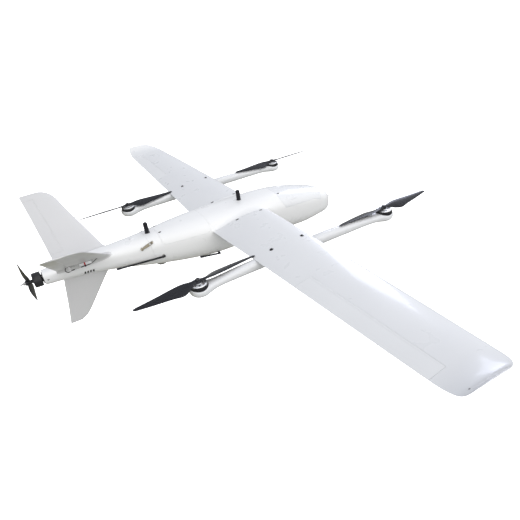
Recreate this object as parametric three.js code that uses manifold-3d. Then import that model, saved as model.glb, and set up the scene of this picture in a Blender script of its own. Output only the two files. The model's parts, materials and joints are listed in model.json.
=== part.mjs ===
// A fixed-wing drone that takes off like a quadcopter: a long wing carries two booms with a lift
// rotor at each end, and a small motor at the tail pushes it in cruise. Millimetres, +X to the
// nose, +Y to the left wing, +Z up. The origin is the middle of the payload plate's lower face.
import * as THREE from 'three';
import { mergeVertices } from 'three/addons/utils/BufferGeometryUtils.js';
import Module from 'manifold-3d';

const wasm = await Module();
wasm.setup();

// ---- Driving dimensions -------------------------------------------------------------------
const gap = 0.3;                 // clearance between pieces that touch
const wall = 4;                  // fuselage and tail cone skin
const boomY = 425;               // lift booms, out from the centreline
const rotorX = 402;              // lift rotors, ahead of and behind the origin
const propZ = 152;               // lift propeller plane
const pushX = -836;              // end of the tail cone
const pushZ = 140;               // pusher axis
const rootY = 115;               // wing root rib
const tipY = 1252;               // wing tip
const tailPlaneZ = 139;          // the two tail planes meet the centreline here
const dihedral = THREE.MathUtils.degToRad(31.2);
const sides = { left: 1, right: -1 };
const ends = { front: 1, rear: -1 };

// ---- Materials ----------------------------------------------------------------------------
const finish = (color, roughness, metalness = 0) => (
  new THREE.MeshStandardMaterial({ color, roughness, metalness }));
const whitePaint = finish(0xf1f3f5, 0.22);
const hatchPaint = finish(0xeef0f3, 0.25);
const carbon = finish(0x1b1c20, 0.35);
const blackPlastic = finish(0x111214, 0.5);
const blackAnodised = finish(0x15161a, 0.35, 0.7);
const silver = finish(0xd6d9dd, 0.25, 0.9);
const steel = finish(0x8d8f90, 0.35, 0.9);
const bronzeSteel = finish(0x8b8470, 0.4, 0.8);
const greyPlate = finish(0x6d7074, 0.45, 0.3);
const batteryWrap = finish(0x2b3550, 0.5);
const redPlastic = finish(0xb3222b, 0.45);

// ---- Solids -------------------------------------------------------------------------------
function solid(geometry) {
  const bare = new THREE.BufferGeometry();
  bare.setAttribute('position', geometry.getAttribute('position').clone());
  if (geometry.index) bare.setIndex(geometry.index.clone());
  const merged = mergeVertices(bare, 1e-4);
  const corners = merged.getAttribute('position').array;
  const faces = [];
  for (let i = 0; i < merged.index.count; i += 3) {
    const [a, b, c] = [0, 1, 2].map((k) => merged.index.getX(i + k));
    if (a !== b && b !== c && c !== a) faces.push([a, b, c]);
  }
  const corner = (i) => new THREE.Vector3().fromArray(corners, 3 * i);
  const volume = faces.reduce((sum, [a, b, c]) => (
    sum + corner(a).dot(corner(b).cross(corner(c)))), 0);
  const outward = volume > 0 ? faces : faces.map(([a, b, c]) => [a, c, b]);
  return new wasm.Manifold(new wasm.Mesh({
    numProp: 3,
    vertProperties: Float32Array.from(corners),
    triVerts: Uint32Array.from(outward.flat()),
  }));
}

function geometryOf(shape) {
  const mesh = shape.getMesh();
  const geometry = new THREE.BufferGeometry();
  geometry.setAttribute('position', new THREE.BufferAttribute(mesh.vertProperties, 3));
  geometry.setIndex(new THREE.BufferAttribute(mesh.triVerts, 1));
  return geometry;
}

const mirrored = (shape) => solid(geometryOf(shape).scale(1, -1, 1));
const onSide = (shape, side) => (side > 0 ? shape : mirrored(shape));
const joined = (shapes) => shapes.reduce((all, shape) => all.add(shape));

function block(low, high) {
  const size = high.map((h, i) => h - low[i]);
  const middle = high.map((h, i) => (h + low[i]) / 2);
  return solid(new THREE.BoxGeometry(...size).translate(...middle));
}

// A round bar between two points, tapered where the second radius differs.
function rod(from, to, radius, endRadius = radius, facets = 12) {
  const start = new THREE.Vector3(...from);
  const along = new THREE.Vector3(...to).sub(start);
  const length = along.length();
  const turn = new THREE.Quaternion().setFromUnitVectors(
    new THREE.Vector3(0, 1, 0), along.normalize());
  const middle = start.addScaledVector(along, length / 2);
  return solid(new THREE.CylinderGeometry(endRadius, radius, length, facets)
    .applyQuaternion(turn).translate(middle.x, middle.y, middle.z));
}

const ball = (at, radius) => solid(new THREE.SphereGeometry(radius, 12, 8).translate(...at));

// A turned piece about Z: its profile holds [radius, height] pairs and starts and ends on the
// axis, or comes back to where it started.
const turned = (profile, facets = 24) => solid(new THREE.LatheGeometry(
  profile.map(([r, z]) => new THREE.Vector2(r, z)), facets).rotateX(Math.PI / 2));

// The same about the pusher's axis, with height counted forward from the tail cone's end.
const turnedAlongX = (profile, facets = 24) => solid(new THREE.LatheGeometry(
  profile.map(([r, x]) => new THREE.Vector2(r, x)), facets)
  .rotateZ(-Math.PI / 2).translate(pushX, 0, pushZ));

// An outline of [x, z] pairs, made solid from -halfWidth to halfWidth in y.
function sideProfile(outline, halfWidth) {
  const shape = new THREE.Shape(outline.map(([x, z]) => new THREE.Vector2(x, z)));
  return solid(new THREE.ExtrudeGeometry(shape, { depth: 2 * halfWidth, bevelEnabled: false })
    .rotateX(Math.PI / 2).translate(0, halfWidth, 0));
}

// A cylinder whose rings are moved onto the given sections, each a ring of as many points.
function loft(rings) {
  const around = rings[0].length;
  const along = rings.length - 1;
  const tube = new THREE.CylinderGeometry(1, 1, 1, around, along);
  const at = tube.getAttribute('position');
  for (let i = 0; i < at.count; i += 1) {
    const [x, y, z] = [at.getX(i), at.getY(i), at.getZ(i)];
    const ring = rings[Math.round((0.5 - y) * along)];
    const turn = Math.atan2(x, z) / (2 * Math.PI);
    const step = (Math.round(turn * around) + around) % around;
    const middle = ring.reduce((sum, p) => sum.add(p), new THREE.Vector3())
      .divideScalar(around);
    const target = Math.hypot(x, z) < 0.5 ? middle : ring[step];
    at.setXYZ(i, target.x, target.y, target.z);
  }
  return solid(tube);
}

// A value between stations, each [x, value, ...], on a smooth curve through them.
function between(stations, x, column) {
  const last = stations.length - 1;
  const at = (i) => stations[Math.min(last, Math.max(0, i))];
  let i = stations.findIndex((row) => row[0] > x) - 1;
  if (x >= stations[last][0]) i = last - 1;
  if (i < 0) i = 0;
  const slope = (k) => {
    const [a, b] = [at(k - 1), at(k + 1)];
    return (b[column] - a[column]) / (b[0] - a[0]);
  };
  const [a, b] = [at(i), at(i + 1)];
  const run = b[0] - a[0];
  const t = THREE.MathUtils.clamp((x - a[0]) / run, 0, 1);
  const h = [2 * t ** 3 - 3 * t ** 2 + 1, t ** 3 - 2 * t ** 2 + t,
    -2 * t ** 3 + 3 * t ** 2, t ** 3 - t ** 2];
  return h[0] * a[column] + h[1] * run * slope(i) + h[2] * b[column] + h[3] * run * slope(i + 1);
}

// A squared-off oval in the plane of constant x. topPower and lowPower say how square.
function ovalRing(x, halfWidth, top, low, topPower, lowPower, points) {
  const height = (top - low) / 2;
  return Array.from({ length: points }, (_, k) => {
    const turn = (2 * Math.PI * k) / points;
    const [c, s] = [Math.cos(turn), Math.sin(turn)];
    const power = 2 / (s > 0 ? topPower : lowPower);
    return new THREE.Vector3(
      x,
      halfWidth * Math.sign(c) * Math.abs(c) ** power,
      (top + low) / 2 + height * Math.sign(s) * Math.abs(s) ** power,
    );
  });
}

// ---- Fuselage -----------------------------------------------------------------------------
const noseStart = 340;           // the rounded nose begins here
const noseTip = 435;
const noseTipZ = 61;
const fuselageStations = [       // x, half width, top, bottom
  [-836, 28, 167, 113],
  [-700, 39, 172, 102],
  [-570, 53, 173, 79],
  [-445, 71, 177, 48],
  [-317, 96, 184, 24],
  [-190, 112, 187, 8],
  [-62, 113, 187, 5],
  [65, 108, 189, 2],
  [172, 102, 180, 2],
  [270, 96, 160, 4],
  [340, 87, 140, 11],
];
// The lower corners are squarer towards the nose.
const lowPower = (x) => THREE.MathUtils.mapLinear(THREE.MathUtils.clamp(x, 100, 250),
  100, 250, 2.3, 3);

function fuselageRing(x, inset, points) {
  const from = Math.min(x, noseStart);
  const [halfWidth, top, low] = [1, 2, 3].map((k) => between(fuselageStations, from, k));
  const past = Math.max(0, (x - noseStart) / (noseTip - inset - noseStart));
  const round = Math.sqrt(Math.max(0, 1 - past ** 2)) ** 1.1;
  const middle = THREE.MathUtils.lerp((top + low) / 2, noseTipZ, past ** 2);
  const height = ((top - low) / 2 - inset) * round;
  return ovalRing(x, (halfWidth - inset) * round, middle + height, middle - height, 3,
    lowPower(x), points);
}

function fuselageBody(from, to, inset, steps = 14, points = 28) {
  const rings = Array.from({ length: steps + 1 }, (_, i) => (
    fuselageRing(THREE.MathUtils.lerp(from, Math.min(to, noseStart), i / steps), inset,
      points)));
  if (to > noseStart) {
    for (const turn of [24, 44, 61, 75, 85]) {
      const reach = Math.sin(THREE.MathUtils.degToRad(turn));
      rings.push(fuselageRing(THREE.MathUtils.lerp(noseStart, noseTip - inset, reach), inset,
        points));
    }
  }
  return loft(rings);
}

const wholeBody = fuselageBody(pushX, noseTip, 0);
const bodyForCuts = fuselageBody(pushX - 1, noseTip, -gap);
const bodyInside = fuselageBody(pushX + 6, noseTip, wall, 10, 20);

// The tail cone comes off at a plane that leans back at the top.
const seamTopX = -453;
const seamLowX = -430;
const seamOutline = (shift) => [[seamTopX + shift, 200], [seamLowX + shift, 20],
  [-900, 20], [-900, 200]];
const behindSeam = (shift) => sideProfile(seamOutline(shift), 150);

// ---- Wing ---------------------------------------------------------------------------------
const wingStations = [           // y, leading edge x and z, trailing edge x and z
  [0, 55, 152.5, -202, 139],
  [115, 54.6, 152.5, -201, 139.5],
  [425, 50.4, 152.5, -189, 146.5],
  [850, 44, 152.5, -171, 150],
  [1150, 36.5, 152.5, -158, 152],
  [1180, 33, 155, -157, 154],
  [1205, 26, 161, -157.5, 160],
  [1226, 13, 170, -157, 168.5],
  [1241, -7, 181, -155, 182],
  [1252, -36, 196, -147, 200],
];
const wingThickness = 0.12;

// A 2412-like section at span y, as a ring from the trailing edge over the top and back.
function wingRing(y, grow = 0) {
  const [leadX, leadZ, trailX, trailZ] = [1, 2, 3, 4].map((k) => between(wingStations, y, k));
  const chord = leadX - trailX;
  const sink = (leadZ - trailZ) / chord;
  const tipThin = THREE.MathUtils.smoothstep(y, 1180, tipY);
  const thick = wingThickness * (1 - 0.5 * tipThin);
  const half = 10;
  return Array.from({ length: 2 * half }, (_, k) => {
    const turn = (Math.PI * (k + 0.5)) / half;
    const share = (1 + Math.cos(turn)) / 2;
    const open = 5 * thick * (0.2969 * Math.sqrt(share) - 0.126 * share - 0.3516 * share ** 2
      + 0.2843 * share ** 3 - 0.1 * share ** 4);
    const camber = share < 0.4 ? 0.125 * (0.8 * share - share ** 2)
      : 0.0556 * (0.2 + 0.8 * share - share ** 2);
    const sign = turn < Math.PI ? 1 : -1;
    const x = leadX - share * chord - grow * Math.cos(turn);
    const z = leadZ - share * chord * sink + chord * camber + sign * (chord * open + grow);
    return new THREE.Vector3(x, y, z);
  });
}

function wingBody(from, grow = 0) {
  const inner = [from, 425, 850, 1150, 1170, 1190, 1208, 1222, 1234, 1244];
  return loft([...inner, tipY].map((y) => wingRing(y, grow)));
}

// The middle of the section's depth at span y and station x.
function wingMiddle(y, x) {
  const [leadX, leadZ, trailX, trailZ] = [1, 2, 3, 4].map((k) => between(wingStations, y, k));
  const share = (leadX - x) / (leadX - trailX);
  const camber = 0.0556 * (0.2 + 0.8 * share - share ** 2);
  return leadZ + (trailZ - leadZ) * share + camber * (leadX - trailX);
}

const aileronFrom = 655;
const aileronTo = 1150;
const aileronHingeX = [-117, -105.5];        // at its inner and outer end
const aileronNoseR = [7.7, 6.5];
const aileronSlot = 1;                        // clear gap round an aileron
const aileronEnds = [
  [aileronHingeX[0], aileronFrom, wingMiddle(aileronFrom, aileronHingeX[0])],
  [aileronHingeX[1], aileronTo, wingMiddle(aileronTo, aileronHingeX[1])],
];

// A thin pin behind the joiner tube keeps the panels from twisting.
const alignPin = { x: -130, z: 147, radius: 4, reach: 190 };
const alignRod = (grow) => rod([alignPin.x, -alignPin.reach - grow, alignPin.z],
  [alignPin.x, alignPin.reach + grow, alignPin.z], alignPin.radius + grow, undefined, 10);

// Everything behind the aileron's hinge line, grown on all sides, between two spans.
function aileronZone(grow) {
  const plan = new THREE.Shape([
    new THREE.Vector2(aileronHingeX[0] + grow * 0.4, aileronFrom - grow),
    new THREE.Vector2(aileronHingeX[1] + grow * 0.4, aileronTo + grow),
    new THREE.Vector2(-230, aileronTo + grow),
    new THREE.Vector2(-230, aileronFrom - grow),
  ]);
  return solid(new THREE.ExtrudeGeometry(plan, { depth: 80, bevelEnabled: false })
    .translate(0, 0, 110));
}

function aileronNose(grow) {
  const [inner, outer] = aileronEnds.map((p) => new THREE.Vector3(...p));
  const along = outer.clone().sub(inner).normalize();
  inner.addScaledVector(along, -grow);
  outer.addScaledVector(along, grow);
  const [near, far] = aileronNoseR.map((r) => r + grow);
  return rod(inner.toArray(), outer.toArray(), near, far, 16);
}

const jointTube = { x: -10, z: 154.5, radius: 10, reach: 480 };
const joinerBore = rod([jointTube.x, -jointTube.reach - 1, jointTube.z],
  [jointTube.x, jointTube.reach + 1, jointTube.z], jointTube.radius + gap, undefined, 16);

const wingWhole = wingBody(rootY + gap);
const wingPanel = wingWhole.subtract(aileronZone(aileronSlot)).subtract(aileronNose(aileronSlot))
  .subtract(joinerBore).subtract(alignRod(gap));
const aileron = wingWhole.intersect(aileronZone(0)).add(aileronNose(0));

// A stub of the same section carries the panel's root rib on the fuselage.
const rootStub = loft([-rootY, 0, rootY].map((y) => {
  const ring = wingRing(Math.abs(y));
  return ring.map((p) => new THREE.Vector3(p.x, y, p.z));
}));

// ---- Fuselage pieces ----------------------------------------------------------------------
const rearHatchOutline = (grow) => [[-402 - grow, 141 - grow], [-402 - grow, 240],
  [-206 + grow, 240], [-206 + grow, 141 - grow]];
const noseHatchOutline = (grow) => [[135 - grow, 240], [135 - grow, 160], [153 - grow, 127 - grow],
  [316, 114 - grow], [352 + grow, 96 - grow], [366 + grow, 240]];

const plateSize = { length: 120, width: 76, thickness: 7 };
const plateBlock = (grow) => block(
  [-plateSize.length / 2 - grow, -plateSize.width / 2 - grow, 0],
  [plateSize.length / 2 + grow, plateSize.width / 2 + grow, plateSize.thickness + grow]);

const legs = {
  front: { x: -185.5, y: 100, z: 31, shaftTo: 72, foot: [-265.5, 74, 31] },
  rear: { x: -408, y: 85, z: 97, shaftTo: 58, foot: [-592, 60, 101] },
};
const legR = 3.8;

function leg({ x, y, z, shaftTo, foot }) {
  return rod([x, shaftTo, z], [x, y, z], legR).add(ball([x, y, z], legR))
    .add(rod([x, y, z], foot, legR));
}

const legHoles = joined(Object.values(legs).flatMap(({ x, z, shaftTo }) => (
  Object.values(sides).map((side) => (
    rod([x, side * (shaftTo - 8), z], [x, side * 130, z], legR + gap))))));

const pitot = { from: 421, to: 505, radius: 2.2, z: 61, drop: 3 };
const pitotRod = (grow) => rod([pitot.from - grow, 0, pitot.z],
  [pitot.to, 0, pitot.z - pitot.drop], pitot.radius + grow, undefined, 10);

const ventSlots = joined([-701, -691, -681, -671].flatMap((x) => (
  Object.values(sides).map((side) => (
    block([x, Math.min(side * 25, side * 60), 115], [x + 5, Math.max(side * 25, side * 60), 124])
  )))));

const centreSkin = wholeBody.subtract(behindSeam(gap)).add(rootStub.subtract(bodyInside))
  .subtract(bodyInside).subtract(joinerBore).subtract(alignRod(gap));
const noseHatch = centreSkin.intersect(sideProfile(noseHatchOutline(0), 150));
const rearHatch = centreSkin.intersect(sideProfile(rearHatchOutline(0), 150));
const fuselageShell = centreSkin.subtract(sideProfile(noseHatchOutline(gap), 150))
  .subtract(sideProfile(rearHatchOutline(gap), 150))
  .subtract(plateBlock(gap)).subtract(legHoles).subtract(pitotRod(gap));
const coneInside = bodyInside.intersect(behindSeam(1));
const tailCone = wholeBody.intersect(behindSeam(0)).subtract(coneInside)
  .subtract(ventSlots).subtract(legHoles);
const payloadPlate = plateBlock(0);

// ---- Booms and lift rotors ----------------------------------------------------------------
const boomStations = [           // distance from the rotor axis towards the wing, half width,
  [-36, 4, 128, 121],            // top, bottom
  [-33, 14, 132, 112],
  [-26, 25, 133.5, 104],
  [-14, 33, 134, 99],
  [0, 35.5, 134, 97],
  [14, 34, 134, 97.5],
  [27, 29, 134.5, 99.5],
  [42, 24.5, 135.5, 102],
  [62, 22, 137, 105],
  [95, 21, 139.5, 106.5],
  [150, 21, 143.5, 106.5],
  [225, 21, 146.5, 106.5],
  [290, 21, 148.5, 106.5],
];

function boomBody() {
  const near = [-36, -33, -26, -14, 0, 14, 27, 42, 62, 95, 150, 225, 290];
  const ring = (d, end) => {
    const [halfWidth, top, low] = [1, 2, 3].map((k) => between(boomStations, d, k));
    const square = d < 40 ? 3.2 : 2.2;
    return ovalRing(end * (rotorX - d), halfWidth, top, low, square, 2.1, 16)
      .map((p) => p.setY(p.y + boomY));
  };
  return loft([...near.map((d) => ring(d, -1)), ...near.reverse().map((d) => ring(d, 1))]);
}

const motor = { seatZ: 118, baseR: 32, recessR: 32.6 };
const recess = (x) => rod([x, boomY, motor.seatZ], [x, boomY, 180], motor.recessR, undefined, 20);
const wingForCuts = wingBody(rootY, gap);
const boom = boomBody().subtract(recess(rotorX)).subtract(recess(-rotorX))
  .subtract(wingForCuts);

// Heights of the motor's pieces are counted from the propeller plane.
const motorBase = turned([[0, -33.7], [32, -33.7], [32, -13.5], [30.5, -13.5], [30.5, -30],
  [22, -30], [22, -12.6], [0, -12.6]], 20);
const motorBell = turned([[0, -9.8], [24.5, -9.8], [24.5, -27], [30, -27], [30, -8.4],
  [28.5, -7], [10, -7], [10, -5.3], [0, -5.3]], 20);
const hubClamp = turned([[0, 4.3], [8.5, 4.3], [8.5, 7.5], [7.5, 8.3], [0, 8.3]], 14);

// One blade along +X: leading edge to +Y, as the rotor turns counter-clockwise from above.
const bladeStations = [          // radius, leading edge y, chord, pitch in degrees, thickness
  [8, 9, 18, 10, 8],
  [24, 11, 23, 18, 6.5],
  [42, 15, 39, 19, 5],
  [62, 17, 51, 17, 4.4],
  [78, 16.5, 51, 15.5, 4],
  [100, 15, 45, 13.5, 3.6],
  [145, 10.5, 34, 11.5, 2.8],
  [190, 7, 23, 9.5, 2.1],
  [212, 5.5, 17, 8.5, 1.7],
  [221, 4, 13, 8.2, 1.4],
  [225, 2, 8, 8, 1.2],
];
const pusherStations = [
  [8, 7, 14, 54, 7],
  [20, 10, 20, 51, 5.5],
  [38, 13, 27, 43, 4.4],
  [62, 14, 29, 34, 3.2],
  [95, 12, 24, 26, 2.4],
  [125, 8, 15, 21, 1.7],
  [142, 3, 6, 19, 1.1],
];

const twistAxis = 6;             // a blade is twisted about a line this far ahead of its spar

function bladeRing([radius, lead, chord, pitch, thickness]) {
  const half = 4;
  const tilt = THREE.MathUtils.degToRad(pitch);
  return Array.from({ length: 2 * half }, (_, k) => {
    const turn = (Math.PI * (k + 0.5)) / half;
    const share = (1 - Math.cos(turn)) / 2;
    const bulge = Math.sin(turn) * (1.25 - 0.5 * share) * (thickness / 2);
    const arch = 0.16 * thickness * Math.sin(Math.PI * share) * 2;
    const y = lead - share * chord - twistAxis;
    const z = bulge + arch;
    return new THREE.Vector3(radius, y * Math.cos(tilt) - z * Math.sin(tilt) + twistAxis,
      y * Math.sin(tilt) + z * Math.cos(tilt));
  });
}

function propeller(stations, hub) {
  const blade = loft(stations.map(bladeRing));
  const other = solid(geometryOf(blade).rotateZ(Math.PI));
  return blade.add(other).add(hub);
}

const liftHub = turned([[0, -5], [10.5, -5], [10.5, 4], [0, 4]], 14);
const propLeading = propeller(bladeStations, liftHub)
  .subtract(turned([[0, 4], [15, 4], [15, 15], [0, 15]], 14));
const propMirrored = mirrored(propLeading);

// Where each propeller has stopped, in degrees from straight ahead.
const parked = { front_right: 1.9, front_left: 0.3, rear_right: 4.4, rear_left: 1.1 };

// ---- Tail ---------------------------------------------------------------------------------
const tailStations = [           // distance out along the plane, leading x, trailing x
  [10, -582, -784],
  [50, -598, -787],
  [170, -637, -797.5],
  [300, -679, -810],
  [345, -692, -815],
  [372, -706, -818],
  [390, -724, -820],
  [400, -745, -821.5],
];
const tailThickness = 0.085;

// A symmetrical section in the plane of constant y, before the tail plane is tilted.
function finRing(out, leadX, trailX, thickness, grow) {
  const chord = leadX - trailX;
  const half = 8;
  return Array.from({ length: 2 * half }, (_, k) => {
    const turn = (Math.PI * (k + 0.5)) / half;
    const share = (1 + Math.cos(turn)) / 2;
    const open = 5 * thickness * chord * (0.2969 * Math.sqrt(share) - 0.126 * share
      - 0.3516 * share ** 2 + 0.2843 * share ** 3 - 0.098 * share ** 4);
    const sign = turn < Math.PI ? 1 : -1;
    return new THREE.Vector3(leadX - share * chord - grow * Math.cos(turn), out,
      sign * (open + grow));
  });
}

const tailSpans = [10, 50, 170, 300, 340, 364, 382, 393, 400];
const tailFlat = loft(tailSpans.map((out) => finRing(out, between(tailStations, out, 1),
  between(tailStations, out, 2), tailThickness, 0)));
const tilted = (shape) => solid(geometryOf(shape).rotateX(dihedral).translate(0, 0, tailPlaneZ));

const ruddervatorFrom = 84;
const ruddervatorTo = 366;
const ruddervatorHingeX = [-742, -775];
const ruddervatorNoseR = [4.2, 3.4];
const ruddervatorSlot = 1;
const tailEnds = [[ruddervatorHingeX[0], ruddervatorFrom, 0],
  [ruddervatorHingeX[1], ruddervatorTo, 0]];

function ruddervatorZone(grow) {
  const plan = new THREE.Shape([
    new THREE.Vector2(ruddervatorHingeX[0] + grow * 0.4, ruddervatorFrom - grow),
    new THREE.Vector2(ruddervatorHingeX[1] + grow * 0.4, ruddervatorTo + grow),
    new THREE.Vector2(-850, ruddervatorTo + grow),
    new THREE.Vector2(-850, ruddervatorFrom - grow),
  ]);
  return solid(new THREE.ExtrudeGeometry(plan, { depth: 60, bevelEnabled: false })
    .translate(0, 0, -30));
}

function ruddervatorNose(grow) {
  const [inner, outer] = tailEnds.map((p) => new THREE.Vector3(...p));
  const along = outer.clone().sub(inner).normalize();
  inner.addScaledVector(along, -grow);
  outer.addScaledVector(along, grow);
  const [near, far] = ruddervatorNoseR.map((r) => r + grow);
  return rod(inner.toArray(), outer.toArray(), near, far, 12);
}

// A servo under each tail plane moves its ruddervator by an arm, a rod and a horn. Places are
// counted from the hinge's inner end: forward of the hinge, along it, and above the plane. Arm
// and horn are equally long, so the rod stays parallel to itself.
const linkage = { arm: 52, length: 19, hornAt: 26.6, rodAt: 24, armAt: 21.3 };
const sweep = Math.atan2(ruddervatorHingeX[0] - ruddervatorHingeX[1],
  ruddervatorTo - ruddervatorFrom);
const onHinge = (shape) => solid(geometryOf(shape).rotateZ(sweep)
  .translate(ruddervatorHingeX[0], ruddervatorFrom, 0));
const servoLow = [36, 8, -16];
const servoHigh = [70, 20, 4];
const deep = -40;                // below everything under the tail plane

const horn = block([-3, linkage.hornAt - 1, -linkage.length - 2.5], [3, linkage.hornAt + 1, -1]);
const servoArm = rod([linkage.arm, linkage.armAt - 1, 0], [linkage.arm, linkage.armAt + 1, 0], 3)
  .add(block([linkage.arm - 2.4, linkage.armAt - 1, -linkage.length - 2.4],
    [linkage.arm + 2.4, linkage.armAt + 1, 0]));
const rodEye = (u) => rod([u, linkage.rodAt - 1.3, -linkage.length],
  [u, linkage.rodAt + 1.3, -linkage.length], 2.6, undefined, 10);
const pushrod = rod([0, linkage.rodAt, -linkage.length],
  [linkage.arm, linkage.rodAt, -linkage.length], 1.2, undefined, 8)
  .add(rodEye(0)).add(rodEye(linkage.arm));
const servo = block(servoLow, servoHigh);
const linkageRoom = block([servoLow[0] - gap, servoLow[1] - gap, deep],
  [servoHigh[0] + gap, servoHigh[1] + gap, servoHigh[2] + gap])
  .add(block([linkage.arm - 12, servoHigh[1], deep],
    [linkage.arm + 12, linkage.armAt + 1.6, 5.2]))
  .add(block([-2, linkage.hornAt - 1.7, deep], [12, linkage.hornAt + 1.7, 0]));

const tailPanelFlat = tailFlat.subtract(ruddervatorZone(ruddervatorSlot))
  .subtract(ruddervatorNose(ruddervatorSlot)).subtract(onHinge(linkageRoom));
const ruddervatorFlat = tailFlat.intersect(ruddervatorZone(0)).add(ruddervatorNose(0))
  .add(onHinge(horn));
const tailPanel = tilted(tailPanelFlat).subtract(bodyForCuts);
const ruddervator = tilted(ruddervatorFlat);

const finStations = [            // height, leading x, trailing x
  [112, -585, -775],
  [78, -618, -781],
  [-10, -688, -796],
  [-55, -724, -805],
  [-75, -745, -809],
  [-87, -768, -811],
];
const finHeights = [112, 78, 20, -30, -60, -76, -87];
const finFlat = loft(finHeights.map((z) => finRing(z,
  between([...finStations].reverse(), z, 1), between([...finStations].reverse(), z, 2), 0.08, 0)));
const ventralFin = solid(geometryOf(finFlat).rotateX(Math.PI / 2)).subtract(bodyForCuts);

// ---- Pusher -------------------------------------------------------------------------------
const pusherBase = turnedAlongX([[0, -0.3], [23, -0.3], [23, -3], [14, -3], [14, -30],
  [0, -30]], 24);
const pusherBell = turnedAlongX([[0, -32], [18, -32], [18, -7], [27.5, -7], [27.5, -33],
  [25.5, -35.5], [9, -35.5], [7, -37.5], [7, -50], [0, -50]], 24);
const pusherNut = turnedAlongX([[0, -62.3], [7, -62.3], [7, -68], [3, -70], [3, -78],
  [0, -80.5]], 16);
const pusherHub = solid(new THREE.CylinderGeometry(9.5, 9.5, 11, 16).rotateX(Math.PI / 2));
const pusherProp = solid(geometryOf(propeller(pusherStations, pusherHub))
  .rotateY(-Math.PI / 2).rotateX(THREE.MathUtils.degToRad(33.5))
  .translate(pushX - 56, 0, pushZ));

// ---- Fittings -----------------------------------------------------------------------------
const antenna = turned([[0, -4], [8.8, -4], [8.8, 33], [7.5, 41], [5, 43], [0, 43]], 16);
const antennaAt = { rear: [-432, 178.3], front: [-20, 187.9] };
const sensorPuck = rod([-405, 0, 30], [-405, 0, 60], 22, undefined, 20).subtract(bodyForCuts);

// Draw latches hold the tail cone: base and lever behind the seam, catch ahead of it.
// Each is drawn round its pin, x forward and y outward, then laid along the skin.
const latch = { x: -481, y: 66.2, z: 148.8, rise: 18, roll: 30, lean: 7.2 };
const onSkin = (shape) => solid(geometryOf(shape)
  .rotateY(THREE.MathUtils.degToRad(-latch.rise)).rotateX(THREE.MathUtils.degToRad(latch.roll))
  .rotateZ(THREE.MathUtils.degToRad(latch.lean)).translate(latch.x, latch.y, latch.z));
const latchBase = onSkin(block([-6, -9, -4], [6, -2.4, 4])).subtract(bodyForCuts);
const latchCatch = onSkin(block([41, -9, -2], [45, 2.8, 2])).subtract(bodyForCuts);
const latchLoop = block([28, -1, -5], [49, 1, 5])
  .subtract(block([40, -5, -2.5], [46, 5, 2.5]));
const leverPlate = sideProfile([[-1.5, -3], [29, -6.5], [29, 6.5], [-1.5, 3]], 1.3);
const latchLever = onSkin(joined([leverPlate, latchLoop,
  rod([0, 0, -5], [0, 0, 5], 1.5, undefined, 10)]));

const battery = block([-285, -45, 44], [-130, 45, 104]);
const autopilot = block([180, -30, 30], [255, 30, 52])
  .add(block([192, -20, 51], [243, 20, 64]));

// ---- Assembly -----------------------------------------------------------------------------
const drone = new THREE.Group();

function add(name, shape, material, parent = drone) {
  const mesh = new THREE.Mesh(geometryOf(shape), material);
  mesh.name = name;
  parent.add(mesh);
  return mesh;
}

add('fuselage_shell', fuselageShell, whitePaint);
add('tail_cone', tailCone, whitePaint);
add('nose_hatch', noseHatch, hatchPaint);
add('rear_hatch', rearHatch, hatchPaint);
add('payload_plate', payloadPlate, greyPlate);
add('belly_sensor', sensorPuck, greyPlate);
add('pitot_tube', pitotRod(0), steel);
add('battery_pack', battery, batteryWrap);
add('autopilot', autopilot, blackPlastic);
add('wing_joiner_tube', rod([jointTube.x, -jointTube.reach, jointTube.z],
  [jointTube.x, jointTube.reach, jointTube.z], jointTube.radius, undefined, 16), carbon);
add('wing_alignment_pin', alignRod(0), carbon);

for (const [end, [x, z]] of Object.entries(antennaAt)) {
  const standing = solid(geometryOf(antenna).translate(x, 0, z)).subtract(bodyForCuts);
  add(`antenna_${end}`, standing, blackPlastic);
}

for (const [name, side] of Object.entries(sides)) {
  add(`wing_panel_${name}`, onSide(wingPanel, side), whitePaint);
  add(`aileron_${name}`, onSide(aileron, side), whitePaint);
  add(`lift_boom_${name}`, onSide(boom, side), whitePaint);
  add(`tail_plane_${name}`, onSide(tailPanel, side), whitePaint);
  add(`ruddervator_${name}`, onSide(ruddervator, side), whitePaint);
  add(`tail_servo_${name}`, onSide(tilted(onHinge(servo)), side), blackPlastic);
  add(`servo_arm_${name}`, onSide(tilted(onHinge(servoArm)), side), redPlastic);
  add(`pushrod_${name}`, onSide(tilted(onHinge(pushrod)), side), steel);
  add(`latch_base_${name}`, onSide(latchBase, side), bronzeSteel);
  add(`latch_catch_${name}`, onSide(latchCatch, side), bronzeSteel);
  add(`latch_lever_${name}`, onSide(latchLever, side), bronzeSteel);
  for (const [end, shape] of Object.entries(legs)) {
    add(`leg_${end}_${name}`, onSide(leg(shape), side), blackPlastic);
  }
}

for (const [end, along] of Object.entries(ends)) {
  for (const [name, side] of Object.entries(sides)) {
    const rotor = new THREE.Group();
    const corner = `${end}_${name}`;
    rotor.position.set(along * rotorX, side * boomY, propZ);
    drone.add(rotor);
    add(`motor_base_${corner}`, motorBase, blackAnodised, rotor);
    add(`motor_bell_${corner}`, motorBell, silver, rotor);
    const shape = along * side < 0 ? propLeading : propMirrored;
    const turn = THREE.MathUtils.degToRad(parked[corner]);
    add(`lift_propeller_${corner}`, shape, carbon, rotor).rotation.z = turn;
    add(`propeller_clamp_${corner}`, hubClamp, blackAnodised, rotor);
  }
}

add('ventral_fin', ventralFin, whitePaint);
add('pusher_motor_base', pusherBase, blackAnodised);
add('pusher_motor_bell', pusherBell, blackAnodised);
add('pusher_propeller', pusherProp, carbon);
add('pusher_nut', pusherNut, steel);

export default drone;
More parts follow.
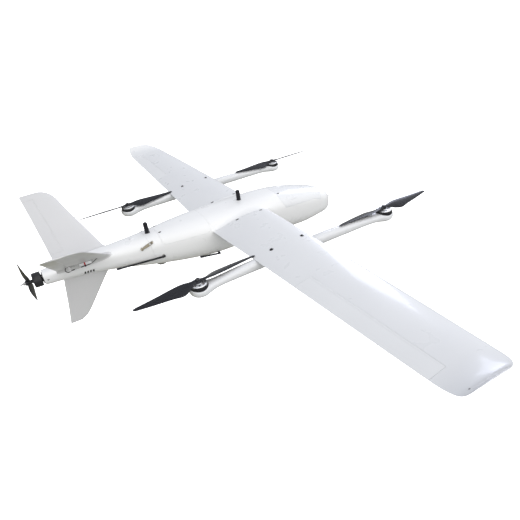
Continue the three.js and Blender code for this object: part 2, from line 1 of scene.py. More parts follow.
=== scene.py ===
"""The fixed wing drone as it looks: painted skins, rotors, legs, latches, screws and a pale studio.

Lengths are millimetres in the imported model's frame, and loose() turns them into metres. The skins
follow the solid model's stations; only the tip of the nose is rounded more smoothly.
"""
import json
import math

import bmesh
import bpy
from mathutils import Matrix, Vector


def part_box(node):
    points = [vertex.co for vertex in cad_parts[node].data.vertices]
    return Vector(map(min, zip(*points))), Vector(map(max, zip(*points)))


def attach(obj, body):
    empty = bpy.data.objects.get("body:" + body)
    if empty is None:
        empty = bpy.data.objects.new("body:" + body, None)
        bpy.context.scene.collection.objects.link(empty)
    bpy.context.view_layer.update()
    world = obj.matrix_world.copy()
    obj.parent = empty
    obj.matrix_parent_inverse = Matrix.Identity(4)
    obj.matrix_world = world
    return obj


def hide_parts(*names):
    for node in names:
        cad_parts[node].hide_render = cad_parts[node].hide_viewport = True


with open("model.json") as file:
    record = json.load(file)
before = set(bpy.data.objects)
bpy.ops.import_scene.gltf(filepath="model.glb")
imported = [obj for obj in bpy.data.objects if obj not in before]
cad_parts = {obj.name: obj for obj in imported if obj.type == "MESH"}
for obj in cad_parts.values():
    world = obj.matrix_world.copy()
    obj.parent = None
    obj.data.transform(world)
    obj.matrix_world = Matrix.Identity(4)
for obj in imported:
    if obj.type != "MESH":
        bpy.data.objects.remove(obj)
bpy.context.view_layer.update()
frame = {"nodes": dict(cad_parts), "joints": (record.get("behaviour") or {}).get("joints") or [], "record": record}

MM = 0.001
SIDES = {"left": 1, "right": -1}
joints = {joint["name"]: joint for joint in frame["joints"]}


def joint_at(name):
    return Vector(joints[name]["pos_m"]) / MM


def node_box(name):
    low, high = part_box(name)
    return low / MM, high / MM


# ---- Driving dimensions ---------------------------------------------------------------------
GAP = 0.5                    # seam between skins
WALL = 4
ROOT_Y = 115                 # wing root rib
TIP_Y = 1252
BOOM_Y = joint_at("rotor_front_left_spin").y
ROTOR_X = joint_at("rotor_front_left_spin").x
PUSHER = joint_at("pusher_spin")
TAIL_END_X = PUSHER.x
TAIL_PLANE_Z = 139
DIHEDRAL = math.radians(31.2)


# ---- Materials ------------------------------------------------------------------------------
def node(tree, kind, **values):
    made = tree.nodes.new(kind)
    for key, value in values.items():
        if key in made.inputs:
            made.inputs[key].default_value = value
        else:
            setattr(made, key.lower(), value)
    return made


def noise(tree, where, scale, detail=4.0, stretch=(1, 1, 1)):
    mapping = node(tree, "ShaderNodeMapping", Scale=stretch)
    tree.links.new(where, mapping.inputs["Vector"])
    made = node(tree, "ShaderNodeTexNoise", Scale=scale, Detail=detail)
    tree.links.new(mapping.outputs["Vector"], made.inputs["Vector"])
    return made.outputs["Fac"]


def spread(tree, value, low, high, start=0.3, stop=0.7):
    made = node(tree, "ShaderNodeMapRange")
    for name, number in zip(("From Min", "From Max", "To Min", "To Max"), (start, stop, low, high)):
        made.inputs[name].default_value = number
    tree.links.new(value, made.inputs["Value"])
    return made.outputs["Result"]


def mixed(tree, share, first, second):
    """Two colours, or a colour and a socket, mixed by share."""
    made = tree.nodes.new("ShaderNodeMix")
    made.data_type = "RGBA"
    tree.links.new(share, made.inputs["Factor"])
    for name, colour in (("A", first), ("B", second)):
        socket = next(s for s in made.inputs if s.name == name and s.type == "RGBA")
        if isinstance(colour, bpy.types.NodeSocket):
            tree.links.new(colour, socket)
        else:
            socket.default_value = (*colour, 1)
    return next(s for s in made.outputs if s.type == "RGBA")


def surface(name, colour, shade, patch, gloss, grain, bump, metal=0.0, coat=0.0, worn=None,
            stretch=(1, 1, 1), shine=0.5):
    """A material whose colour drifts from colour to shade in patches patch times a metre across,
    with uneven gloss, a fine grain in its surface and, on edges, the worn colour."""
    made = bpy.data.materials.new(name)
    made.use_nodes = True
    tree = made.node_tree
    shader = tree.nodes["Principled BSDF"]
    shader.inputs["Metallic"].default_value = metal
    shader.inputs["Coat Weight"].default_value = coat
    shader.inputs["Coat Roughness"].default_value = 0.08
    shader.inputs["Specular IOR Level"].default_value = shine
    where = tree.nodes.new("ShaderNodeTexCoord").outputs["Object"]
    tint = mixed(tree, spread(tree, noise(tree, where, patch, 6, stretch), 0, 1), colour, shade)
    if worn is not None:
        edges = tree.nodes.new("ShaderNodeNewGeometry").outputs["Pointiness"]
        rubbed = node(tree, "ShaderNodeMath", operation="MULTIPLY")
        tree.links.new(spread(tree, edges, 0, 1, 0.53, 0.6), rubbed.inputs[0])
        tree.links.new(spread(tree, noise(tree, where, 60), 0, 0.8, 0.45, 0.6), rubbed.inputs[1])
        tint = mixed(tree, rubbed.outputs[0], tint, worn)
    tree.links.new(tint, shader.inputs["Base Color"])
    smudges = noise(tree, where, patch * 5, 5, stretch)
    tree.links.new(spread(tree, smudges, *gloss), shader.inputs["Roughness"])
    relief = node(tree, "ShaderNodeBump", Strength=bump, Distance=0.001)
    tree.links.new(noise(tree, where, grain, 3, stretch), relief.inputs["Height"])
    tree.links.new(relief.outputs["Normal"], shader.inputs["Normal"])
    return made


def paint(name, colour, shade, patch, gloss, coat, bump=0.004):
    return surface(name, colour, shade, patch, gloss, 500, bump, coat=coat)


WAVE_LENGTH = 0.314          # metres, of a wave texture whose scale is 1


def weave(made, pitch, depth):
    """Adds a slanting weave of fibre bundles, pitch metres wide, to the colour of a material."""
    tree = made.node_tree
    shader = tree.nodes["Principled BSDF"]
    where = tree.nodes.new("ShaderNodeTexCoord").outputs["Object"]
    bands = []
    for direction in ("X", "Y"):
        wave = node(tree, "ShaderNodeTexWave", Scale=WAVE_LENGTH / pitch)
        wave.bands_direction = direction
        tree.links.new(where, wave.inputs["Vector"])
        bands.append(wave.outputs["Fac"])
    over = node(tree, "ShaderNodeMath", operation="GREATER_THAN")
    tree.links.new(bands[0], over.inputs[0])
    tree.links.new(bands[1], over.inputs[1])
    plain = shader.inputs["Base Color"].links[0].from_socket
    share = node(tree, "ShaderNodeMath", operation="MULTIPLY")
    share.inputs[1].default_value = depth
    tree.links.new(over.outputs[0], share.inputs[0])
    tree.links.new(mixed(tree, share.outputs[0], plain, (0.12, 0.12, 0.14)),
                   shader.inputs["Base Color"])
    return made


LOOKS = {
    "white_shell": paint("white_paint", (0.69, 0.7, 0.715), (0.66, 0.67, 0.69), 3, (0.26, 0.36),
                         0.35),
    # The nose hatch and its grips wear a lighter copy of the white paint: painted light.
    "hatch_white": paint("hatch_paint_painted_light", (0.73, 0.74, 0.76), (0.7, 0.71, 0.73), 5, (0.24, 0.34),
                         0.4),
    "carbon_black": weave(surface("carbon", (0.009, 0.01, 0.013), (0.014, 0.015, 0.019), 14,
                                  (0.24, 0.32), 1200, 0.02, worn=(0.06, 0.06, 0.07), shine=0.22),
                          0.0016, 0.06),
    "motor_silver": surface("motor_bell_metal", (0.8, 0.81, 0.83), (0.66, 0.67, 0.69), 40,
                            (0.2, 0.34), 1600, 0.03, 0.85, worn=(0.9, 0.9, 0.9),
                            stretch=(1, 1, 6)),
    "motor_black": surface("motor_anodised", (0.01, 0.01, 0.012), (0.02, 0.02, 0.023), 30,
                           (0.3, 0.42), 1500, 0.03, worn=(0.16, 0.16, 0.16), shine=0.3),
    "steel": surface("screw_steel", (0.52, 0.52, 0.52), (0.4, 0.4, 0.4), 60, (0.25, 0.4), 1800,
                     0.03, 0.95, worn=(0.75, 0.75, 0.75)),
    "latch_steel": surface("latch_plating", (0.24, 0.215, 0.16), (0.17, 0.155, 0.12), 50,
                           (0.25, 0.42), 1500, 0.04, 0.85, worn=(0.45, 0.42, 0.36)),
    "black_plastic": surface("black_plastic", (0.008, 0.008, 0.011), (0.014, 0.014, 0.018), 25,
                             (0.36, 0.5), 1300, 0.08, worn=(0.06, 0.06, 0.065), shine=0.2),
    "grey_plate": surface("grey_plate", (0.34, 0.33, 0.31), (0.28, 0.27, 0.26), 20, (0.4, 0.55),
                          1300, 0.06, worn=(0.5, 0.5, 0.48)),
    "battery_wrap": surface("battery_wrap", (0.03, 0.045, 0.1), (0.05, 0.07, 0.13), 12,
                            (0.3, 0.45), 700, 0.1, worn=(0.2, 0.22, 0.28)),
    "red_plastic": surface("red_plastic", (0.5, 0.03, 0.035), (0.4, 0.02, 0.025), 30,
                           (0.35, 0.5), 1300, 0.05, worn=(0.65, 0.2, 0.2)),
}
# A lighter copy of the white paint, for the fuselage, tail cone, rear hatch and wing root fillets: painted light.
BODY_PAINT_PAINTED_LIGHT = paint("body_paint", (0.79, 0.795, 0.8), (0.76, 0.765, 0.775), 3, (0.26, 0.36), 0.35)
# A darker copy of the white paint, for the tail planes, ruddervators, lower fin and tail fillets: painted shade.
TAIL_PAINT_PAINTED_SHADE = paint("tail_paint_painted_shade", (0.6, 0.6, 0.605), (0.57, 0.57, 0.58), 3, (0.28, 0.38), 0.3)
CONTROL_PAINT = paint("control_surface_paint", (0.71, 0.718, 0.73), (0.68, 0.69, 0.705), 4,
                      (0.34, 0.45), 0.15, 0.006)
# A near-black material that stands for shade: painted shade inside the tail cone's vents and about the screws.
PAINTED_SHADE_INSIDE = surface("painted_shade_inside", (0.02, 0.02, 0.02), (0.035, 0.035, 0.035), 30, (0.6, 0.8),
                      900, 0.1)
WINDING = surface("copper_winding", (0.42, 0.17, 0.07), (0.3, 0.11, 0.05), 60, (0.35, 0.5), 1800,
                  0.3, 0.7, stretch=(1, 1, 8))
SENSOR_RING = surface("sensor_ring", (0.12, 0.12, 0.1), (0.09, 0.09, 0.08), 30, (0.35, 0.5), 1300,
                      0.05, worn=(0.3, 0.3, 0.27))
LENS = surface("sensor_glass", (0.012, 0.012, 0.016), (0.02, 0.02, 0.028), 30, (0.05, 0.12), 800,
               0.01, coat=1.0)

for entry in frame["record"]["subparts"]:
    carried = frame["nodes"][entry["node"]].data
    carried.materials.clear()
    carried.materials.append(LOOKS[entry["material_slot"]])


# ---- Shapes: a list of points and a list of faces -------------------------------------------
def steps(start, stop, count):
    return [start + (stop - start) * i / count for i in range(count + 1)]


def clamped(value):
    return max(0.0, min(1.0, value))


def eased(value, start, stop):
    """From 0 at start to 1 at stop, slow at both ends."""
    t = clamped((value - start) / (stop - start))
    return 3 * t**2 - 2 * t**3


def loft(rings):
    """A closed skin over rings of as many points each, with flat ends."""
    count = len(rings[0])
    points = [point for ring in rings for point in ring]
    faces = [[i * count + k, i * count + (k + 1) % count,
              (i + 1) * count + (k + 1) % count, (i + 1) * count + k]
             for i in range(len(rings) - 1) for k in range(count)]
    last = len(points) - count
    return points, faces + [list(range(count)), list(range(last, last + count))]


def band(rings, tube):
    """An open skin over rings that follow each other in a loop. A tube's rings are closed too."""
    count, across = len(rings), len(rings[0])
    points = [point for ring in rings for point in ring]
    faces = [[k * across + j, k * across + (j + 1) % across,
              (k + 1) % count * across + (j + 1) % across, (k + 1) % count * across + j]
             for k in range(count) for j in range(across if tube else across - 1)]
    return points, faces


def turned(profile, facets=48):
    """A lathe shape about Z from (radius, height) pairs that run axis to axis, or in a loop."""
    points, loops = [], []
    for radius, height in profile:
        count = facets if radius > 0 else 1
        loops.append([len(points) + k for k in range(count)])
        points += [Vector((radius * math.cos(math.tau * k / count),
                           radius * math.sin(math.tau * k / count), height))
                   for k in range(count)]
    faces = []
    for low, high in zip(loops, loops[1:]):
        for k in range(facets):
            corners = [low[k % len(low)], low[(k + 1) % len(low)],
                       high[(k + 1) % len(high)], high[k % len(high)]]
            corners = list(dict.fromkeys(corners))
            if len(corners) > 2:
                faces.append(corners)
    return points, faces


def placed(shape, matrix):
    return [matrix @ Vector(point) for point in shape[0]], shape[1]


def moved(shape, x, y, z):
    return placed(shape, Matrix.Translation((x, y, z)))


def merged(*shapes):
    points, faces = [], []
    for more, loops in shapes:
        start = len(points)
        points += more
        faces += [[start + i for i in loop] for loop in loops]
    return points, faces


def mirrored(shape):
    return ([Vector((p[0], -p[1], p[2])) for p in shape[0]],
            [list(reversed(loop)) for loop in shape[1]])


def on_side(shape, side):
    return shape if side > 0 else mirrored(shape)


def facing(at, normal):
    """A place at a point whose Z axis is the normal."""
    turn = Vector(normal).normalized().to_track_quat("Z", "Y")
    return Matrix.Translation(Vector(at)) @ turn.to_matrix().to_4x4()


def rod(start, stop, radius, end_radius=None, facets=24):
    start, stop = Vector(start), Vector(stop)
    end_radius = radius if end_radius is None else end_radius
    length = (stop - start).length
    profile = [(0, 0), (radius, 0), (end_radius, length), (0, length)]
    return placed(turned(profile, facets), facing(start, stop - start))


def ball(at, radius, facets=24):
    rows = 10
    profile = [(radius * math.sin(math.pi * i / rows) if 0 < i < rows else 0,
                -radius * math.cos(math.pi * i / rows)) for i in range(rows + 1)]
    return moved(turned(profile, facets), *at)


def bent_rod(points, radius):
    """A round rod through a row of points."""
    return merged(*[rod(first, last, radius, facets=12) for first, last in zip(points, points[1:])],
                  *[ball(at, radius, 12) for at in points])


def around(shape, count, place, first=0.0):
    """Copies of a shape, evenly spaced about a place's Z axis."""
    return merged(*[placed(shape, place @ Matrix.Rotation(math.tau * (k + first) / count, 4, "Z"))
                    for k in range(count)])


def block(low, high):
    x, y, z = zip(low, high)
    points = [Vector((x[i], y[j], z[k])) for i in (0, 1) for j in (0, 1) for k in (0, 1)]
    faces = [[0, 1, 3, 2], [4, 6, 7, 5], [0, 4, 5, 1], [2, 3, 7, 6], [0, 2, 6, 4], [1, 5, 7, 3]]
    return points, faces


def prism(outline, low, high, plane):
    """An outline in plane "xz" or "xy", pushed along the third axis from low to high."""
    def at(a, b, depth):
        return Vector((a, depth, b)) if plane == "xz" else Vector((a, b, depth))
    return loft([[at(a, b, depth) for a, b in outline] for depth in (low, high)])


def rounded_outline(corners, radius, facets=6):
    """An outline whose corners are turned with a radius."""
    outline = []
    for i, corner in enumerate(corners):
        corner = Vector(corner)
        before = Vector(corners[i - 1]) - corner
        after = Vector(corners[(i + 1) % len(corners)]) - corner
        reach = min(radius, before.length / 2.1, after.length / 2.1)
        first = corner + before.normalized() * reach
        last = corner + after.normalized() * reach
        for t in steps(0, 1, facets):
            outline.append(tuple(first * (1 - t) ** 2 + corner * 2 * t * (1 - t) + last * t ** 2))
    return outline


def between(stations, x):
    """The values at x between stations, each (x, value, ...), on smooth curves through them."""
    last = len(stations) - 1
    i = next((k for k, row in enumerate(stations) if row[0] > x), last) - 1
    i = max(0, min(last - 1, i))
    before, a, b, after = (stations[max(0, min(last, k))] for k in range(i - 1, i + 3))
    run = b[0] - a[0]
    t = clamped((x - a[0]) / run)

    def value(column):
        leaving = (b[column] - before[column]) / (b[0] - before[0])
        arriving = (after[column] - a[column]) / (after[0] - a[0])
        return ((2 * t**3 - 3 * t**2 + 1) * a[column] + (t**3 - 2 * t**2 + t) * run * leaving
                + (3 * t**2 - 2 * t**3) * b[column] + (t**3 - t**2) * run * arriving)

    return [value(column) for column in range(1, len(a))]


# ---- Pieces ---------------------------------------------------------------------------------
def loose(name, shape):
    """An object with a shape, closed up and facing out, which isn't a finished piece yet."""
    mesh = bpy.data.meshes.new(name)
    mesh.from_pydata([Vector(point) * MM for point in shape[0]], [], shape[1])
    work = bmesh.new()
    work.from_mesh(mesh)
    bmesh.ops.remove_doubles(work, verts=work.verts, dist=1e-6)
    bmesh.ops.recalc_face_normals(work, faces=work.faces)
    work.to_mesh(mesh)
    work.free()
    made = bpy.data.objects.new(name, mesh)
    bpy.context.scene.collection.objects.link(made)
    return made


def apply_modifiers(made):
    graph = bpy.context.evaluated_depsgraph_get()
    mesh = bpy.data.meshes.new_from_object(made.evaluated_get(graph))
    made.modifiers.clear()
    made.data = mesh


def carve(made, shape, how="DIFFERENCE"):
    """Cuts a shape from an object, or adds it, or keeps only what they share."""
    tool = loose("tool", shape)
    cut = made.modifiers.new("cut", "BOOLEAN")
    cut.operation, cut.solver, cut.object = how, "EXACT", tool
    apply_modifiers(made)
    bpy.data.objects.remove(tool)
    return made


def copy_of(made, name):
    other = bpy.data.objects.new(name, made.data.copy())
    bpy.context.scene.collection.objects.link(other)
    return other


def mirror_of(made, name):
    other = copy_of(made, name)
    other.data.transform(Matrix.Scale(-1, 4, (0, 1, 0)))
    other.data.flip_normals()
    return other


def finish_piece(made, look, body, replaces=(), rounded=0.0, material=None, crisp=32):
    """Rounds the hard edges, shades the rest smooth, and gives a piece its material and body."""
    if rounded:
        bevel = made.modifiers.new("rounded", "BEVEL")
        bevel.width, bevel.segments = rounded * MM, 2
        bevel.limit_method, bevel.angle_limit = "ANGLE", math.radians(35)
        apply_modifiers(made)
    made.data.materials.clear()
    made.data.materials.append(material or LOOKS[look])
    made.data.shade_smooth()
    made.data.set_sharp_from_angle(angle=math.radians(crisp))
    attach(made, body)
    if replaces:
        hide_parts(*replaces)
    return made


def piece(name, shape, look, body, replaces=(), rounded=0.0, material=None, crisp=32):
    return finish_piece(loose(name, shape), look, body, replaces, rounded, material, crisp)


def sided(names, side):
    return [name.format(side=side) for name in names]


def pair(name, shape, look, body, replaces=(), **finish):
    """A piece on the left and its mirror image on the right; {side} stands for either."""
    for side, sign in SIDES.items():
        piece(name.format(side=side), on_side(shape, sign), look, body.format(side=side),
              sided(replaces, side), **finish)


def finish_pair(left, look, body, replaces, **finish):
    """Finishes a left object, and its mirror image as the right one; {side} stands for either."""
    right = mirror_of(left, left.name.replace("left", "right"))
    for side, made in (("right", right), ("left", left)):
        finish_piece(made, look, body.format(side=side), sided(replaces, side), **finish)


def screw(at, normal, radius, raised):
    """A button head with a socket, standing on a surface."""
    head = [(0, raised * 0.2), (radius * 0.42, raised * 0.2), (radius * 0.5, raised * 0.95),
            (radius * 0.75, raised * 0.85), (radius, raised * 0.1), (radius, -2), (0, -2)]
    return placed(turned(head, 18), facing(at, normal))


def four_screws(out, height, radius, raised):
    """Screws that face up on the four diagonals about Z."""
    return merged(*[screw((out * math.cos(a), out * math.sin(a), height), (0, 0, 1), radius, raised)
                    for a in steps(math.pi / 4, math.pi * 7 / 4, 3)])


def painted_shade_patch(at, normal, length, width):
    """A dark rounded patch of painted shade for the recess that a screw sits in, longer from front to back."""
    straight = (length - width) / 2
    outline = [(math.copysign(straight, math.cos(a)) + width / 2 * math.cos(a),
                width / 2 * math.sin(a)) for a in steps(0.05, math.tau - 0.05, 27)]
    up = Vector(normal).normalized()
    ahead = Vector((1, 0, 0))
    run = (ahead - up * up.dot(ahead)).normalized()
    turn = Matrix((run, up.cross(run), up)).transposed().to_4x4()
    shape = loft([[Vector((x, y, z)) for x, y in outline] for z in (-1.2, 0.12)])
    return placed(shape, Matrix.Translation(Vector(at)) @ turn)


# ---- Fuselage -------------------------------------------------------------------------------
NOSE_START = 340
NOSE_TIP = 435
NOSE_TIP_Z = 61
FUSELAGE = [                 # x, half width, top, bottom
    (-836, 28, 167, 113),
    (-700, 39, 172, 102),
    (-570, 53, 173, 79),
    (-445, 71, 177, 48),
    (-317, 96, 184, 24),
    (-190, 112, 187, 8),
    (-62, 113, 187, 5),
    (65, 108, 189, 2),
    (172, 102, 180, 2),
    (270, 96, 160, 4),
    (340, 87, 140, 11),
    (435, 63, 113, 20),
]
SQUARE_TOP = 3               # the power of the section's curve: 2 is round, more is squarer
SQUARE_LOW = 2.3
SQUARE_GAIN = 0.7            # more of it below, from x 100 to 250, towards the nose
NOSE_BLUNT, NOSE_CLOSE = 4.25, 0.6      # how late the nose narrows, and how roundly it ends


def squareness(x, up):
    if up > 0:
        return SQUARE_TOP
    return SQUARE_LOW + SQUARE_GAIN * clamped((x - 100) / 150)


def fuselage_size(x, inset=0.0):
    """Half width, middle height and half height of the fuselage at station x."""
    half, top, low = between(FUSELAGE, min(x, NOSE_TIP))
    past = max(0.0, (x - NOSE_START) / (NOSE_TIP - inset - NOSE_START))
    round_off = max(0.0, 1 - past**NOSE_BLUNT) ** NOSE_CLOSE
    middle = (top + low) / 2 + (NOSE_TIP_Z - (top + low) / 2) * past**2
    return (half - inset) * round_off, middle, ((top - low) / 2 - inset) * round_off


def oval_ring(x, half, middle, height, top_power, low_power, count):
    ring = []
    for k in range(count):
        c, s = math.cos(math.tau * k / count), math.sin(math.tau * k / count)
        power = 2 / (top_power if s > 0 else low_power)
        ring.append(Vector((x, half * math.copysign(abs(c) ** power, c),
                            middle + height * math.copysign(abs(s) ** power, s))))
    return ring


def fuselage_body(start, inset=0.0, straight=66, count=76):
    stations = steps(start, NOSE_START, straight)
    reach = NOSE_TIP - inset - NOSE_START
    stations += [NOSE_START + reach * math.sin(math.radians(turn))
                 for turn in (8, 16, 24, 32, 40, 48, 55, 62, 68, 73, 78, 82, 86)]
    return loft([oval_ring(x, *fuselage_size(x, inset), SQUARE_TOP, squareness(x, -1), count)
                 for x in stations])


def beyond_skin(point):
    """Above 1 outside the fuselage and below 1 inside it."""
    half, middle, height = fuselage_size(point[0])
    up = point[2] - middle
    power = squareness(point[0], up)
    return abs(point[1] / half) ** power + abs(up / height) ** power


def on_skin(point):
    """The point's shadow on the fuselage, cast from its middle."""
    middle = fuselage_size(point[0])[1]
    up = point[2] - middle
    power = squareness(point[0], up)
    share = max(beyond_skin(point), 1e-6) ** (-1 / power)
    return Vector((point[0], point[1] * share, middle + up * share))


def skin_normal(point):
    step = 0.5
    slope = [beyond_skin(point + Vector(d) * step) - beyond_skin(point - Vector(d) * step)
             for d in ((1, 0, 0), (0, 1, 0), (0, 0, 1))]
    return Vector(slope).normalized()


def seam_outline(shift):
    """The tail cone's side of its seam, which leans back at the top."""
    return [(-453 + shift, 200), (-430 + shift, 20), (-900, 20), (-900, 200)]


def rear_hatch_outline(grow):
    corners = [(-402 - grow, 240), (-402 - grow, 141 - grow), (-206 + grow, 141 - grow),
               (-206 + grow, 240)]
    return rounded_outline(corners, 22)


def nose_hatch_outline(grow):
    corners = [(135 - grow, 240), (135 - grow, 160), (153 - grow, 127 - grow),
               (316, 114 - grow), (352 + grow, 96 - grow), (366 + grow, 240)]
    return rounded_outline(corners, 8)


def through(outline):
    """A side view outline, pushed right through the fuselage."""
    return prism(outline, -150, 150, "xz")


def build_fuselage():
    skin = loose("fuselage_skin", fuselage_body(TAIL_END_X))
    carve(skin, fuselage_body(TAIL_END_X + 6, WALL, 30, 44))
    nose, rear, cone = (
        carve(copy_of(skin, name), through(outline(0)), "INTERSECT") for name, outline in (
            ("nose_hatch_skin", nose_hatch_outline), ("rear_hatch_skin", rear_hatch_outline),
            ("tail_cone_skin", seam_outline)))
    for outline in (seam_outline, nose_hatch_outline, rear_hatch_outline):
        carve(skin, through(outline(GAP)))
    low, high = node_box("payload_plate")
    carve(skin, block(low - Vector((GAP, GAP, 20)), high + Vector((GAP, GAP, GAP))))
    slots = [prism([(x - 2, 111), (x + 4, 111), (x + 6.5, 125.5), (x + 0.5, 125.5)],
                   min(side * 22, side * 60), max(side * 22, side * 60), "xz")
             for x in (-701, -691, -681, -671) for side in SIDES.values()]
    carve(cone, merged(*slots))
    # A near-black sleeve inside the tail cone behind the vent slots: painted shade, where the hollow cone is in
    # shadow.
    shade_sleeve = [oval_ring(x, *fuselage_size(x, WALL + GAP), SQUARE_TOP, SQUARE_LOW, 40)
             for x in (-712, -655)]
    piece("vent_shade_sleeve", loft(shade_sleeve), "black_plastic", "airframe", material=PAINTED_SHADE_INSIDE)
    # The fuselage skin, tail cone and rear hatch wear the lighter copy of the white paint, which is painted light.
    finish_piece(skin, "white_shell", "airframe", ["fuselage_shell"], material=BODY_PAINT_PAINTED_LIGHT)
    finish_piece(cone, "white_shell", "airframe", ["tail_cone"], material=BODY_PAINT_PAINTED_LIGHT)
    finish_piece(nose, "hatch_white", "nose_hatch", ["nose_hatch"])
    finish_piece(rear, "hatch_white", "rear_hatch", ["rear_hatch"], material=BODY_PAINT_PAINTED_LIGHT)


# ---- Wing -----------------------------------------------------------------------------------
WING = [                     # y, leading edge x and z, trailing edge x and z
    (0, 55, 152.5, -202, 139),
    (115, 54.6, 152.5, -201, 139.5),
    (425, 50.4, 152.5, -189, 146.5),
    (850, 44, 152.5, -171, 150),
    (1150, 36.5, 152.5, -158, 152),
    (1180, 33, 155, -157, 154),
    (1205, 26, 161, -157.5, 160),
    (1226, 13, 170, -157, 168.5),
    (1241, -7, 181, -155, 182),
    (1252, -36, 196, -147, 200),
]
WING_POINTS = 60
WING_THICKNESS = 0.12        # of the chord
TIP_START = 1180             # where the wing thins towards its upturned tip
TIP_ROUND = 5                # the last stretch of the tip is rounded off


def aerofoil_curve(share, close):
    """How thick an aerofoil is at a share of its chord from the front. close thins its back."""
    return (0.2969 * math.sqrt(share) - 0.126 * share - 0.3516 * share**2 + 0.2843 * share**3
            - close * share**4)


def tip_thinning(past):
    """How much of the thickness is left at a share of the rounded stretch of a tip."""
    return math.sqrt(max(0.0, 1 - 0.96 * past**2))


def wing_ring(y, grow=0.0):
    lead_x, lead_z, trail_x, trail_z = between(WING, y)
    chord = lead_x - trail_x
    sink = (lead_z - trail_z) / chord
    thick = WING_THICKNESS * (1 - 0.5 * eased(y, TIP_START, TIP_Y))
    thick *= tip_thinning(max(0.0, (y - (TIP_Y - TIP_ROUND)) / TIP_ROUND))
    ring = []
    for k in range(WING_POINTS):
        turn = math.tau * (k + 0.5) / WING_POINTS
        share = (1 + math.cos(turn)) / 2
        half = 5 * thick * aerofoil_curve(share, 0.1)
        camber = (0.125 * (0.8 * share - share**2) if share < 0.4
                  else 0.0556 * (0.2 + 0.8 * share - share**2))
        sign = 1 if turn < math.pi else -1
        ring.append(Vector((lead_x - share * chord - grow * math.cos(turn), y,
                            lead_z - share * chord * sink + chord * camber
                            + sign * (chord * half + grow))))
    return ring


def wing_top(x, y):
    """The height of the wing's upper skin."""
    ring = wing_ring(abs(y))
    upper = sorted(ring[:WING_POINTS // 2], key=lambda p: abs(p.x - x))[:2]
    a, b = sorted(upper, key=lambda p: p.x)
    share = (x - a.x) / (b.x - a.x) if b.x != a.x else 0
    return a.z + (b.z - a.z) * share


AILERON_ENDS = [(-117, 655, 152.97), (-105.5, 1150, 154.85)]         # its hinge line
AILERON_NOSE = (8.05, 6.6)   # radii of its rounded front, at the two ends
RUDDERVATOR_ENDS = [(-742, 84, 0), (-775, 366, 0)]
RUDDERVATOR_NOSE = (4.4, 3.65)
CONTROL_REACH = 125          # a cut behind a hinge line goes this far, past the trailing edge


def control_zone(ends, grow, low, high):
    """All behind a hinge line and between its ends. Growing it moves its front edge less."""
    (x0, y0, _), (x1, y1, _) = ends
    back = x1 - CONTROL_REACH
    ahead = grow * 0.4
    return prism([(x0 + ahead, y0 - grow), (x1 + ahead, y1 + grow),
                  (back, y1 + grow), (back, y0 - grow)], low, high, "xy")


def control_nose(ends, radii, grow):
    """The rounded front of a control surface, about its hinge line."""
    inner, outer = (Vector(end) for end in ends)
    along = (outer - inner).normalized() * grow
    return rod(inner - along, outer + along, radii[0] + grow, radii[1] + grow, 40)


def split_control(whole, name, ends, radii, low, high):
    """Parts a skin into the fixed piece and the control surface behind its hinge line."""
    control = carve(copy_of(whole, name), control_zone(ends, 0, low, high), "INTERSECT")
    carve(control, control_nose(ends, radii, 0), "UNION")
    carve(whole, control_zone(ends, GAP, low, high))
    carve(whole, control_nose(ends, radii, GAP))
    return control


def build_wings():
    spans = (steps(ROOT_Y + GAP, 1130, 22) + steps(1150, 1240, 16)
             + [1243, 1246, 1248.5, 1250.3, 1251.4, TIP_Y])
    panel = loose("wing_panel_skin_left", loft([wing_ring(y) for y in spans]))
    aileron = split_control(panel, "aileron_skin_left", AILERON_ENDS, AILERON_NOSE, 110, 190)
    finish_pair(panel, "white_shell", "airframe", ["wing_panel_{side}"], crisp=40)
    finish_pair(aileron, "white_shell", "aileron_{side}", ["aileron_{side}"],
                material=CONTROL_PAINT, crisp=40)


def root_fillet(point_at, count, start, stop, reach, climb):
    """A smooth band where a wing or fin meets the fuselage, between spans start and stop.
    point_at(k, span) is on the wing's skin; the band goes reach(span) along it, and climb along
    the fuselage."""
    rings = []
    for k in range(count):
        inside, outside = start, stop
        for _ in range(24):
            half = (inside + outside) / 2
            if beyond_skin(point_at(k, half)) < 1:
                inside = half
            else:
                outside = half
        meet = point_at(k, inside)
        width = reach(inside)
        far = point_at(k, inside + width)
        rim = point_at((k + 1) % count, inside) - point_at(k - 1, inside)
        normal = rim.cross(far - meet).normalized()
        centre = sum((point_at(i, inside) for i in range(count)), Vector()) / count
        if normal.dot(meet - centre) < 0:
            normal = -normal
        near = on_skin(meet + normal * climb)
        rings.append([near * (1 - t)**2 + meet * 2 * t * (1 - t) + far * t**2
                      for t in steps(0, 1, 8)])
    return band(rings, tube=False)


def build_wing_roots():
    """The short stubs that carry the root ribs, with the fillets that blend them in."""
    stub = loft([wing_ring(y) for y in (88, 100, ROOT_Y)])
    fillet = root_fillet(lambda k, y: wing_ring(y)[k], WING_POINTS, 60, ROOT_Y,
                         lambda y: max(2.0, ROOT_Y - 0.3 - y), 34)
    pair("wing_root_{side}", stub, "white_shell", "airframe", crisp=40)
    # The fillets wear the lighter copy of the white paint, which is painted light.
    pair("wing_root_fillet_{side}", fillet, "white_shell", "airframe", material=BODY_PAINT_PAINTED_LIGHT,
         crisp=80)


# ---- Booms and rotors -----------------------------------------------------------------------
BOOM = [                     # distance from the rotor towards the wing, half width, top, bottom
    (-36, 4, 128, 121),
    (-33, 14, 132, 112),
    (-26, 25, 133.5, 104),
    (-14, 33, 134, 99),
    (0, 35.5, 134, 97),
    (14, 34, 134, 97.5),
    (27, 29, 134.5, 99.5),
    (42, 24.5, 135.5, 102),
    (62, 22, 137, 105),
    (95, 21, 139.5, 106.5),
    (150, 21, 143.5, 106.5),
    (225, 21, 146.5, 106.5),
    (290, 21, 148.5, 106.5),
]


